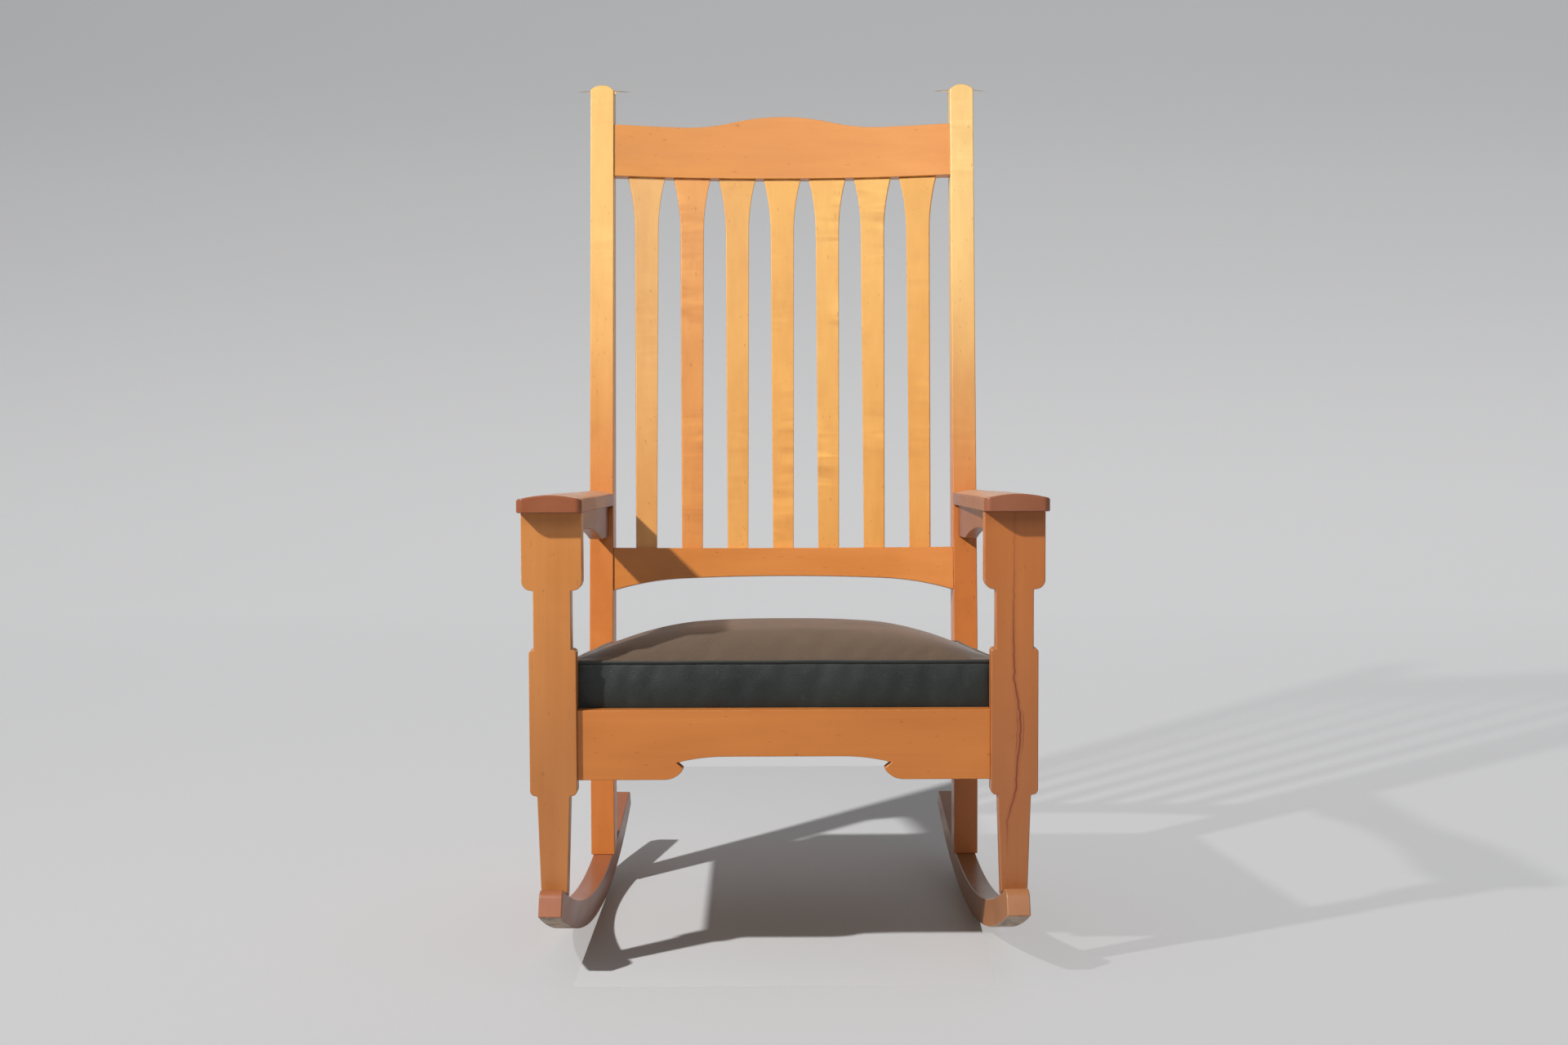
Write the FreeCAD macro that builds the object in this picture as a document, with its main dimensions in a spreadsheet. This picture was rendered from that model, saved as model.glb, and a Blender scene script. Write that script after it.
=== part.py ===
import FreeCAD, Part
import math
import os

import Sketcher

# A slat-back rocking armchair in solid maple with a drop-in leather seat.
# Millimetres and degrees. X to the sitter's left and right, +Y to the back, +Z up.
# The origin is on the floor, in the middle of the chair's length and width.

SIZES = [
    ("leg_spacing", 582.0, "centre to centre of the front legs"),
    ("post_spacing", 541.0, "centre to centre of the rear posts"),
    ("frame_depth", 501.0, "front legs' front face to rear posts' front face"),
    ("balance_back", 360.0, "front legs' front face to where the rockers touch the floor"),
    ("rocker_radius", 1045.0, "rocker, curve of the sole"),
    ("rocker_thick", 36.5, "rocker, height of its section"),
    ("rocker_width", 29.5, "rocker, width of its section"),
    ("front_reach", 404.0, "rocker, tip ahead of the floor contact"),
    ("rear_reach", 392.0, "rocker, tip behind the floor contact"),
    ("tail_start", 240.0, "rocker, where the upper edge turns straight, behind the floor contact"),
    ("nose_round", 13.0, "rocker, rounding of the front tip's upper corner"),
    ("heel_round", 10.0, "rocker, rounding of the rear tip's upper corner"),
    ("sole_flat", 60.0, "rocker, length worn flat where it stands"),
    ("leg_thick", 28.0, "front leg, front to back"),
    ("block_width", 76.4, "front leg, block under the arm"),
    ("neck_width", 47.5, "front leg, neck between block and seat"),
    ("middle_width", 59.7, "front leg, where the seat rails join"),
    ("ankle_width", 41.3, "front leg, just below the seat rails"),
    ("foot_width", 33.4, "front leg, at the rocker"),
    ("block_bottom", 486.0, "front leg, height of the block's lower ledge"),
    ("middle_top", 411.0, "front leg, height of the wide middle's upper ledge"),
    ("middle_bottom", 225.5, "front leg, height of the wide middle's lower ledge"),
    ("block_round", 12.0, "front leg, lower corners of the block"),
    ("middle_round", 4.5, "front leg, upper corners of the wide middle"),
    ("ankle_round", 7.0, "front leg, lower corners of the wide middle"),
    ("cove", 2.0, "front leg, hollow where a ledge meets a narrower part"),
    ("post_width", 35.0, "rear post, side to side"),
    ("post_foot_depth", 46.0, "rear post, front to back at the rocker"),
    ("post_bend_depth", 62.0, "rear post, front to back at the seat"),
    ("post_top_depth", 39.0, "rear post, front to back at the top"),
    ("post_bend_height", 330.0, "rear post, height where it turns back"),
    ("post_bend_round", 700.0, "rear post, radius of that turn"),
    ("post_length", 865.0, "rear post, from the bend to the top corners"),
    ("post_dome", 7.5, "rear post, rise of the rounded top"),
    ("back_lean", 6.56, "rear post, lean of the back, degrees"),
    ("back_bow", 26.0, "back rails, how far the middle curves back"),
    ("back_rail_thick", 23.0, "back rails, thickness"),
    ("back_rail_setback", 3.0, "back rails, behind the posts' front faces"),
    ("crest_bottom", 735.2, "crest rail, lower edge up the back from the bend"),
    ("crest_height", 78.1, "crest rail, height at its ends"),
    ("crest_dip", 1.4, "crest rail, fall from its ends to the start of the rise"),
    ("crest_rise", 17.9, "crest rail, rise from there to the middle"),
    ("crest_rise_half", 149.0, "crest rail, half the width of the rise"),
    ("lower_top", 175.0, "lower back rail, upper edge up the back from the bend"),
    ("lower_height", 63.5, "lower back rail, height at its ends"),
    ("lower_arch_shoulder", 18.2, "lower back rail, rise of the arch at its shoulders"),
    ("lower_arch_crown", 3.6, "lower back rail, rise from the shoulders to the middle"),
    ("lower_arch_half", 150.0, "lower back rail, half the distance between the shoulders"),
    ("splat_pitch", 68.3, "splats, spacing"),
    ("splat_thick", 10.0, "splats, thickness"),
    ("splat_foot_width", 31.0, "splats, width at the lower rail"),
    ("splat_neck_width", 35.0, "splats, width below the flare"),
    ("splat_head_width", 56.0, "splats, width at the crest rail"),
    ("splat_flare", 82.0, "splats, length of the flare"),
    ("splat_tenon_width", 24.0, "splats, width of the tenons"),
    ("splat_tenon", 11.0, "splats, length of the tenons"),
    ("rail_top", 333.6, "front seat rail, height of the upper edge"),
    ("rail_height", 89.0, "seat rails, height of the boards"),
    ("rail_thick", 21.0, "front and rear seat rails, thickness"),
    ("side_rail_thick", 22.0, "side seat rails, thickness"),
    ("tongue_reach", 110.0, "front seat rail, straight lower edge from the leg"),
    ("tongue_nose", 24.0, "front seat rail, length of the tongue's curved nose"),
    ("tongue_nose_rise", 14.0, "front seat rail, rise of the tongue's curved nose"),
    ("tongue_notch", 9.0, "front seat rail, depth of the notch behind the nose"),
    ("tongue_notch_rise", 7.6, "front seat rail, height of the notch"),
    ("arch_reach", 61.0, "front seat rail, length of the arch's curved end"),
    ("arch_rise", 7.8, "front seat rail, rise of the arch's curved end"),
    ("seat_pitch", 3.5, "seat, fall to the back, degrees"),
    ("tenon_thick", 9.0, "tenons of the rails, thickness"),
    ("tenon_shoulder", 9.0, "tenons of the rails, step above and below"),
    ("tenon_deep", 14.0, "tenons of the side rails, depth"),
    ("tenon_land", 2.5, "wood left between two tenons in one leg"),
    ("back_tenon", 18.0, "tenons of the back rails, depth"),
    ("glue_gap", 0.15, "room round a tenon for glue"),
    ("arm_height", 584.3, "underside of the arm at the front leg's face"),
    ("arm_pitch", 2.0, "arm, fall to the back, degrees"),
    ("arm_thick", 22.4, "arm, thickness at the crest of its crown"),
    ("arm_crown_radius", 143.0, "arm, curve of the top from side to side"),
    ("arm_front_width", 82.4, "arm, width at the front"),
    ("arm_rear_outer", 19.0, "arm, beyond the post's centre line at the back"),
    ("arm_overhang", 29.0, "arm, ahead of the front leg"),
    ("arm_corner", 9.0, "arm, rounding of the front corners"),
    ("arm_wide_length", 150.0, "arm, straight outer edge from the front"),
    ("arm_sweep_length", 210.0, "arm, length of the outer edge's double curve"),
    ("arm_tenon_width", 44.0, "front leg's tenon into the arm, side to side"),
    ("arm_tenon_rise", 12.0, "front leg's tenon into the arm, height"),
    ("apron_thick", 18.0, "rail under the arm, thickness"),
    ("apron_depth", 47.0, "rail under the arm, height at its ends"),
    ("apron_flat", 83.0, "rail under the arm, straight lower edge at each end"),
    ("apron_rise", 19.0, "rail under the arm, rise of the arch"),
    ("apron_tenon", 10.0, "rail under the arm, depth of the tenons"),
    ("screw_shank", 2.5, "wood screws, shank radius"),
    ("screw_head", 4.6, "wood screws, head radius"),
    ("screw_head_rise", 3.4, "wood screws, head height"),
    ("screw_length", 58.0, "wood screws, length with the head"),
    ("counterbore", 8.0, "screw holes, depth of the wide mouth"),
    ("screw_gap", 0.1, "screw holes, room round the screw"),
    ("arm_screw_rise", 10.0, "arm screws, above the underside of the arm"),
    ("plug_thick", 3.5, "plugs over the arm screws, thickness"),
    ("block_size", 44.0, "corner blocks, along each rail"),
    ("block_height", 38.0, "corner blocks, height"),
    ("ledger_width", 16.0, "seat ledgers, width"),
    ("ledger_height", 20.0, "seat ledgers, height"),
    ("ledger_inset", 48.0, "seat ledgers, from the ends of the side rails"),
    ("seat_rest_gap", 0.3, "drop-in seat, above its corner blocks and ledgers"),
    ("seat_side_gap", 1.5, "drop-in seat, to the side rails"),
    ("seat_front_gap", 3.0, "drop-in seat, to the front rail"),
    ("seat_rear_gap", 4.5, "drop-in seat, to the rear rail"),
    ("slip_thick", 20.0, "drop-in seat, thickness of the wooden frame"),
    ("slip_width", 50.0, "drop-in seat, width of the frame's members"),
    ("slip_tenon", 22.0, "drop-in seat, length of the frame's tenons"),
    ("slip_tenon_thick", 7.0, "drop-in seat, thickness of the frame's tenons"),
    ("webbing_width", 50.0, "webbing, width of a strap"),
    ("webbing_thick", 2.0, "webbing, thickness of a strap"),
    ("webbing_land", 30.0, "webbing, length of a strap's end tacked to the frame"),
    ("leather_thick", 1.6, "leather cover, thickness"),
    ("leather_turn", 26.0, "leather cover, turned under the frame"),
    ("edge_stuffing", 18.0, "filling, thickness of the stuffing round the springs"),
    ("spring_height", 50.0, "springs, height between webbing and filling"),
    ("spring_radius", 26.0, "springs, radius of the coil"),
    ("spring_wire", 3.0, "springs, thickness of the wire"),
    ("spring_spread", 125.0, "springs, the outer four from the middle, to each side"),
    ("spring_depth", 105.0, "springs, the outer four from the middle, front and back"),
    ("boxing_height", 58.0, "leather cover, from the rail's edge to the welt"),
    ("crown_height", 42.0, "leather cover, rise of the top above the welt"),
    ("crown_edge", 3.0, "leather cover, rise of the top at the front and back edges"),
    ("draw_in", 3.0, "leather cover, how far the long sides pull in"),
    ("welt_radius", 2.6, "welt, radius of the cord"),
]

SPLATS = 7
LONG_STRAPS = 5
CROSS_STRAPS = 4
SPRING_TURNS = 3
SPRING_SIDES = 8
WELT_STEPS = 4
MITRED = 1
CUSHION_STEPS = 16
# how square the cushion's crown is from front to back: two powers of one curve
CROWN_SQUARE, CROWN_FULL = 2.6, 0.8
# where the crown's shoulder lies, in shares of the half width and of the rise
SHOULDER_OUT, SHOULDER_FALL = 0.6, 0.22
# the lowest corner of a spring's wire below the line it follows, in thicknesses of the wire
WIRE_BELOW = 0.62
# cutting shapes are this many times as large as what they cut
AMPLE = 2
SIDES = (("left", -1), ("right", 1))
ACROSS, BACKWARD, UPWARD = (1, 0, 0), (0, 1, 0), (0, 0, 1)

doc = FreeCAD.newDocument("rocking_chair")
sheet = doc.addObject("Spreadsheet::Sheet", "Sizes")
for row, (alias, number, meaning) in enumerate(SIZES, start=1):
    sheet.set(f"A{row}", meaning)
    sheet.set(f"B{row}", str(number))
    sheet.setAlias(f"B{row}", alias)
doc.recompute()


class Size:
    """A number together with the expression that works it out from the sheet's cells."""

    def __init__(self, number, text):
        self.number = number
        self.text = text

    def __add__(self, other):
        other = as_size(other)
        return Size(self.number + other.number, f"({self.text} + {other.text})")

    def __sub__(self, other):
        other = as_size(other)
        return Size(self.number - other.number, f"({self.text} - {other.text})")

    def __mul__(self, other):
        other = as_size(other)
        return Size(self.number * other.number, f"({self.text} * {other.text})")

    def __truediv__(self, other):
        other = as_size(other)
        return Size(self.number / other.number, f"({self.text} / {other.text})")

    def __radd__(self, other):
        return as_size(other) + self

    def __rsub__(self, other):
        return as_size(other) - self

    def __rmul__(self, other):
        return as_size(other) * self

    def __neg__(self):
        return as_size(-1) * self


def as_size(value):
    if isinstance(value, Size):
        return value
    return Size(float(value), f"({float(value):.9g})")


def root(value):
    return Size(math.sqrt(value.number), f"sqrt({value.text})")


def sine(angle):
    return Size(math.sin(math.radians(angle.number)), f"sin({angle.text})")


def cosine(angle):
    return Size(math.cos(math.radians(angle.number)), f"cos({angle.text})")


def tangent(angle):
    return Size(math.tan(math.radians(angle.number)), f"tan({angle.text})")


def arc_sine(value):
    return Size(math.degrees(math.asin(value.number)), f"(asin({value.text}) / (1 deg))")


def arc_tangent(value):
    return Size(math.degrees(math.atan(value.number)), f"(atan({value.text}) / (1 deg))")


def arc_radius(half_span, rise):
    """Radius of the arc that rises so far over half of its span."""
    return (half_span * half_span + rise * rise) / (2 * rise)


class Cells:
    """The sheet's cells by their names, as sizes."""

    def __getattr__(self, alias):
        return Size(float(getattr(sheet, alias)), f"Sizes.{alias}")


cell = Cells()


def bind(thing, name, value):
    """Ties one property to the sheet."""
    thing.setExpression(name, as_size(value).text)


def place(thing, frame):
    """Ties the placement to the sheet: each step of the frame is a move followed by a turn."""
    steps = []
    for x, y, z, axis, angle in frame:
        move = "; ".join(as_size(part).text for part in (x, y, z))
        turn = "; ".join(str(part) for part in axis)
        steps.append(f"placement(vector({move}); rotation(vector({turn}); {as_size(angle).text}))")
    if steps:
        thing.setExpression("Placement", " * ".join(steps))
    return thing


def moved(frame, x=0, y=0, z=0, axis=UPWARD, angle=0):
    return frame + [(x, y, z, axis, angle)]


class Arc:
    """The side of an outline that follows a corner, when it is round: +1 bulges outward."""

    def __init__(self, radius, bulge):
        self.radius = radius
        self.bulge = bulge


def outline(body, plane, corners, name):
    """A closed sketch, anticlockwise, on one of the body's own planes. A corner is (x, y) or (x, y, Arc)."""
    sketch = body.newObject("Sketcher::SketchObject", name)
    support = [item for item in body.Origin.OriginFeatures if item.Role == plane]
    sketch.AttachmentSupport = [(support[0], "")]
    sketch.MapMode = "FlatFace"
    points = [FreeCAD.Vector(as_size(c[0]).number, as_size(c[1]).number, 0) for c in corners]
    sides = []
    for index, corner in enumerate(corners):
        start, end = points[index], points[(index + 1) % len(points)]
        if len(corner) == 2:
            sides.append((sketch.addGeometry(Part.LineSegment(start, end)), 1))
            continue
        arc = corner[2]
        chord = end - start
        radius = as_size(arc.radius).number
        rise = radius - math.sqrt(radius * radius - chord.Length * chord.Length / 4)
        outward = FreeCAD.Vector(chord.y, -chord.x, 0).normalize() * rise * arc.bulge
        ends = (start, end) if arc.bulge > 0 else (end, start)
        number = sketch.addGeometry(Part.Arc(ends[0], (start + end) * 0.5 + outward, ends[1]))
        sides.append((number, 1 if arc.bulge > 0 else 2))
    for index, (number, first) in enumerate(sides):
        following, its_first = sides[(index + 1) % len(sides)]
        sketch.addConstraint(Sketcher.Constraint("Coincident", number, 3 - first, following, its_first))
    for (number, first), corner, point in zip(sides, corners, points):
        for kind, value, seen in (("DistanceX", corner[0], point.x), ("DistanceY", corner[1], point.y)):
            tie = sketch.addConstraint(Sketcher.Constraint(kind, -1, 1, number, first, seen))
            bind(sketch, f"Constraints[{tie}]", value)
        if len(corner) == 3:
            radius = as_size(corner[2].radius)
            tie = sketch.addConstraint(Sketcher.Constraint("Radius", number, radius.number))
            bind(sketch, f"Constraints[{tie}]", radius)
    return sketch


def padded(label, plane, corners, length, frame, symmetric=False, backward=False):
    """A body with one outline given a thickness."""
    body = doc.addObject("PartDesign::Body", label)
    body.Label = label
    pad = body.newObject("PartDesign::Pad", label + "_pad")
    pad.Profile = outline(body, plane, corners, label + "_outline")
    pad.SideType = "Symmetric" if symmetric else "One side"
    pad.Reversed = backward
    bind(pad, "Length", length)
    body.Tip = pad
    return place(body, frame)


def rounded(body, spots, radius):
    """Rounds the body's edges that pass nearest to the spots, given in the body's own frame."""
    doc.recompute()
    base = body.Tip
    shape = base.Shape
    names = []
    for spot in spots:
        point = Part.Vertex(*[as_size(part).number for part in spot])
        gaps = [edge.distToShape(point)[0] for edge in shape.Edges]
        names.append(f"Edge{gaps.index(min(gaps)) + 1}")
    fillet = body.newObject("PartDesign::Fillet", body.Name + "_round")
    fillet.Base = (base, names)
    bind(fillet, "Radius", radius)
    body.Tip = fillet
    return body


def block(label, frame, low, size):
    """A box from its low corner, in the frame."""
    box = doc.addObject("Part::Box", label)
    box.Label = label
    for name, value in zip(("Length", "Width", "Height"), size):
        bind(box, name, value)
    return place(box, moved(frame, *low))


def rod(label, frame, radius, length):
    """A cylinder that runs up from the frame's origin."""
    cylinder = doc.addObject("Part::Cylinder", label)
    cylinder.Label = label
    bind(cylinder, "Radius", radius)
    bind(cylinder, "Height", length)
    return place(cylinder, frame)


def fused(label, pieces):
    if len(pieces) == 1:
        return pieces[0]
    fusion = doc.addObject("Part::MultiFuse", label)
    fusion.Label = label
    fusion.Shapes = pieces
    return fusion


def compound(label, pieces):
    """Pieces of one kind, kept as separate solids."""
    group = doc.addObject("Part::Compound", label)
    group.Label = label
    group.Links = pieces
    return group


def shared(label, pieces):
    common = doc.addObject("Part::MultiCommon", label)
    common.Label = label
    common.Shapes = pieces
    return common


def without(label, piece, tools):
    cut = doc.addObject("Part::Cut", label)
    cut.Label = label
    cut.Base = piece
    cut.Tool = fused(label + "_holes", tools)
    return cut


class Tenon:
    """A tenon and, a glue line larger, its mortise."""

    def __init__(self, name, frame, low, size):
        self.name = name
        self.frame = frame
        self.low = low
        self.size = size

    def solid(self):
        return block(self.name + "_tenon", self.frame, self.low, self.size)

    def hole(self):
        low = [part - cell.glue_gap for part in self.low]
        size = [part + 2 * cell.glue_gap for part in self.size]
        return block(self.name + "_mortise", self.frame, low, size)


class Screw:
    """A round-headed wood screw that points up its frame's Z axis, and the hole that takes it."""

    def __init__(self, name, frame):
        self.name = name
        self.frame = frame

    def solid(self):
        head = rod(self.name + "_head", self.frame, cell.screw_head, cell.screw_head_rise)
        shank = rod(self.name + "_shank", self.frame, cell.screw_shank, cell.screw_length)
        return fused(self.name, [head, shank])

    def hole(self):
        mouth = rod(
            self.name + "_mouth",
            moved(self.frame, z=-AMPLE * cell.counterbore),
            cell.screw_head + cell.screw_gap,
            AMPLE * cell.counterbore + cell.screw_head_rise + cell.screw_gap,
        )
        bore = rod(
            self.name + "_bore",
            self.frame,
            cell.screw_shank + cell.screw_gap,
            cell.screw_length + cell.screw_gap,
        )
        return fused(self.name + "_hole", [mouth, bore])


# Places that several pieces share

contact_y = (cell.front_reach - cell.rear_reach) / 2
leg_y = contact_y - cell.balance_back
leg_back_y = leg_y + cell.leg_thick
post_y = leg_y + cell.frame_depth
side_slope = (cell.leg_spacing - cell.post_spacing) / 2 / cell.frame_depth
taper = arc_tangent(side_slope)
rocker_top_radius = cell.rocker_radius - cell.rocker_thick
rocker_centre_z = root(cell.rocker_radius * cell.rocker_radius - cell.sole_flat * cell.sole_flat / 4)

BACK = [(0, post_y, cell.post_bend_height, ACROSS, -cell.back_lean)]
SEAT = [(0, leg_back_y, cell.rail_top, ACROSS, -cell.seat_pitch)]


def side_frame(side):
    """On the floor below a front leg's face, with Y along the line to the rear post."""
    return [(side * cell.leg_spacing / 2, leg_y, 0, UPWARD, side * taper)]


def arm_frame(side):
    """At the underside of an arm above a front leg's face, level from side to side."""
    return [(side * cell.leg_spacing / 2, leg_y, cell.arm_height, ACROSS, -cell.arm_pitch)]


def apron_frame(side):
    """As the arm's frame, turned to run towards the rear post."""
    return side_frame(side) + [(0, 0, cell.arm_height, ACROSS, -cell.arm_pitch)]


def rail_frame(side):
    """At the top of a side seat rail, behind the front leg, falling with the seat."""
    return side_frame(side) + [(0, cell.leg_thick, cell.rail_top, ACROSS, -cell.seat_pitch)]


def rocker_frame(side):
    """On the floor where a rocker touches it."""
    middle = cell.leg_spacing / 2 - side_slope * cell.balance_back
    return [(side * middle, contact_y, 0, UPWARD, side * taper)]


def rocker_hollow(name, side):
    """The space inside the curve of a rocker's upper face, which shapes the feet that stand on it."""
    length = AMPLE * cell.block_width
    frame = moved(rocker_frame(side), z=rocker_centre_z)
    return rod(name + "_rocker_hollow", moved(frame, -length / 2, 0, 0, BACKWARD, 90), rocker_top_radius, length)


def before_back(name):
    """All that is in front of the posts' leaning front faces."""
    depth = AMPLE * cell.frame_depth
    return block(name + "_before_back", BACK, (-depth, -depth, -depth), (2 * depth, depth, 2 * depth))


def behind_leg(name):
    """All that is behind the front legs."""
    depth = AMPLE * cell.frame_depth
    return block(name + "_behind_leg", [], (-depth, leg_back_y, 0), (2 * depth, depth, depth))


# Joints, each used by the piece that has the tenon and the piece that has the mortise

middle_inner = cell.leg_spacing / 2 - cell.middle_width / 2
post_inner = cell.post_spacing / 2 - cell.post_width / 2
rail_fall = tangent(cell.seat_pitch)
rear_rail_top = cell.rail_top - rail_fall * (cell.frame_depth - cell.leg_thick)
side_rail_x_front = cell.leg_spacing / 2 - side_slope * cell.leg_thick
rail_tenon_height = cell.rail_height - 2 * cell.tenon_shoulder


def mirrored_low(side, low, size):
    """The low corner on either side of the chair, from the one on its right side."""
    if side > 0:
        return low
    return (-low[0] - size[0], low[1], low[2])


def tenon_pair_end(centre_x):
    """Where a tenon from the inner side stops short of the one that comes from the front or back."""
    return centre_x - cell.tenon_thick / 2 - cell.tenon_land


def front_rail_tenon(name, side):
    low = (middle_inner, leg_back_y - (cell.rail_thick + cell.tenon_thick) / 2,
           cell.rail_top - cell.rail_height + cell.tenon_shoulder)
    size = (tenon_pair_end(side_rail_x_front) - middle_inner, cell.tenon_thick, rail_tenon_height)
    return Tenon("front_rail_" + name, [], mirrored_low(side, low, size), size)


def rear_rail_tenon(name, side):
    low = (post_inner, post_y + (cell.rail_thick - cell.tenon_thick) / 2,
           rear_rail_top - cell.rail_height + cell.tenon_shoulder)
    size = (tenon_pair_end(cell.post_spacing / 2) - post_inner, cell.tenon_thick, rail_tenon_height)
    return Tenon("rear_rail_" + name, [], mirrored_low(side, low, size), size)


def side_rail_front_tenon(name, side):
    low = (side_rail_x_front - cell.tenon_thick / 2, leg_back_y - cell.tenon_deep,
           cell.rail_top - cell.rail_height + cell.tenon_shoulder)
    size = (cell.tenon_thick, cell.tenon_deep, rail_tenon_height)
    return Tenon("side_rail_front_" + name, [], mirrored_low(side, low, size), size)


def side_rail_rear_tenon(name, side):
    low = (cell.post_spacing / 2 - cell.tenon_thick / 2, post_y,
           rear_rail_top - cell.rail_height + cell.tenon_shoulder)
    size = (cell.tenon_thick, cell.tenon_deep, rail_tenon_height)
    return Tenon("side_rail_rear_" + name, [], mirrored_low(side, low, size), size)


def back_rail_tenon(name, side, bottom, height):
    depth = cell.back_rail_setback + (cell.back_rail_thick - cell.tenon_thick) / 2
    low = (post_inner, depth, bottom + cell.tenon_shoulder)
    size = (cell.back_tenon, cell.tenon_thick, height - 2 * cell.tenon_shoulder)
    return Tenon(name, BACK, mirrored_low(side, low, size), size)


def crest_tenon(name, side):
    return back_rail_tenon("crest_" + name, side, cell.crest_bottom, cell.crest_height)


def lower_tenon(name, side):
    bottom = cell.lower_top - cell.lower_height
    return back_rail_tenon("lower_" + name, side, bottom, cell.lower_height)


def arm_tenon(name, side):
    low = (-cell.arm_tenon_width / 2, (cell.leg_thick - cell.tenon_thick) / 2, 0)
    size = (cell.arm_tenon_width, cell.tenon_thick, cell.arm_tenon_rise)
    return Tenon("arm_" + name, arm_frame(side), low, size)


def apron_front_tenon(name, side):
    height = cell.apron_depth - 2 * cell.tenon_shoulder
    low = (-cell.tenon_thick / 2, cell.leg_thick - cell.apron_tenon, -cell.tenon_shoulder - height)
    size = (cell.tenon_thick, cell.apron_tenon + cell.tenon_thick, height)
    return Tenon("apron_front_" + name, apron_frame(side), low, size)


arm_fall = tangent(cell.arm_pitch)
arm_rear_y = cell.frame_depth + tangent(cell.back_lean) * (
    cell.arm_height - arm_fall * cell.frame_depth - cell.post_bend_height
)
arm_rear_z = cell.arm_height - arm_fall * arm_rear_y
arm_up_back = (arm_rear_z - cell.post_bend_height) / cosine(cell.back_lean)


def apron_rear_tenon(name, side):
    height = cell.apron_depth - 2 * cell.tenon_shoulder
    centre = side * cell.post_spacing / 2
    low = (centre - cell.tenon_thick / 2, 0, arm_up_back - cell.tenon_shoulder - height)
    return Tenon("apron_rear_" + name, BACK, low, (cell.tenon_thick, cell.apron_tenon, height))


def post_depth_at(up_back):
    """The post's depth so far up the back from the bend."""
    return cell.post_bend_depth - (cell.post_bend_depth - cell.post_top_depth) * up_back / cell.post_length


def arm_screw(name, side):
    up_back = arm_up_back + cell.arm_screw_rise
    start = post_depth_at(up_back) - cell.counterbore
    frame = moved(BACK, side * cell.post_spacing / 2, start, up_back, ACROSS, 90)
    return Screw("arm_screw_" + name, frame)


def rocker_sole_z(from_contact):
    return rocker_centre_z - root(cell.rocker_radius * cell.rocker_radius - from_contact * from_contact)


def leg_screw(name, side):
    from_contact = cell.leg_thick / 2 - cell.balance_back
    frame = moved(rocker_frame(side), 0, from_contact, rocker_sole_z(from_contact) + cell.counterbore)
    return Screw("leg_screw_" + name, frame)


def post_screw(name, side):
    from_contact = cell.frame_depth - cell.balance_back + cell.post_foot_depth / 2
    frame = moved(rocker_frame(side), 0, from_contact, rocker_sole_z(from_contact) + cell.counterbore)
    return Screw("post_screw_" + name, frame)


# Rockers

def make_rocker(name, side):
    radius, inner = cell.rocker_radius, rocker_top_radius
    front_drop = root(radius * radius - cell.front_reach * cell.front_reach)
    rear_drop = root(radius * radius - cell.rear_reach * cell.rear_reach)
    share = inner / radius
    front_top = (-share * cell.front_reach, rocker_centre_z - share * front_drop)
    tail_drop = root(inner * inner - cell.tail_start * cell.tail_start)
    tail = (cell.tail_start, rocker_centre_z - tail_drop)
    # the straight upper edge meets the square-cut end this far from the centre of the curve
    end_sin, end_cos = cell.rear_reach / radius, rear_drop / radius
    along = inner / (end_sin * cell.tail_start / inner + end_cos * tail_drop / inner)
    rear_top = (along * end_sin, rocker_centre_z - along * end_cos)
    corners = [
        (-cell.front_reach, rocker_centre_z - front_drop, Arc(radius, 1)),
        (-cell.sole_flat / 2, 0),
        (cell.sole_flat / 2, 0, Arc(radius, 1)),
        (cell.rear_reach, rocker_centre_z - rear_drop),
        rear_top,
        (tail[0], tail[1], Arc(inner, -1)),
        front_top,
    ]
    label = "rocker_" + name
    body = padded(label + "_bar", "YZ_Plane", corners, cell.rocker_width, rocker_frame(side), symmetric=True)
    rounded(body, [(0, front_top[0], front_top[1])], cell.nose_round)
    rounded(body, [(0, rear_top[0], rear_top[1])], cell.heel_round)
    return without(label, body, [leg_screw(name, side).hole(), post_screw(name, side).hole()])


# Front legs

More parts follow.
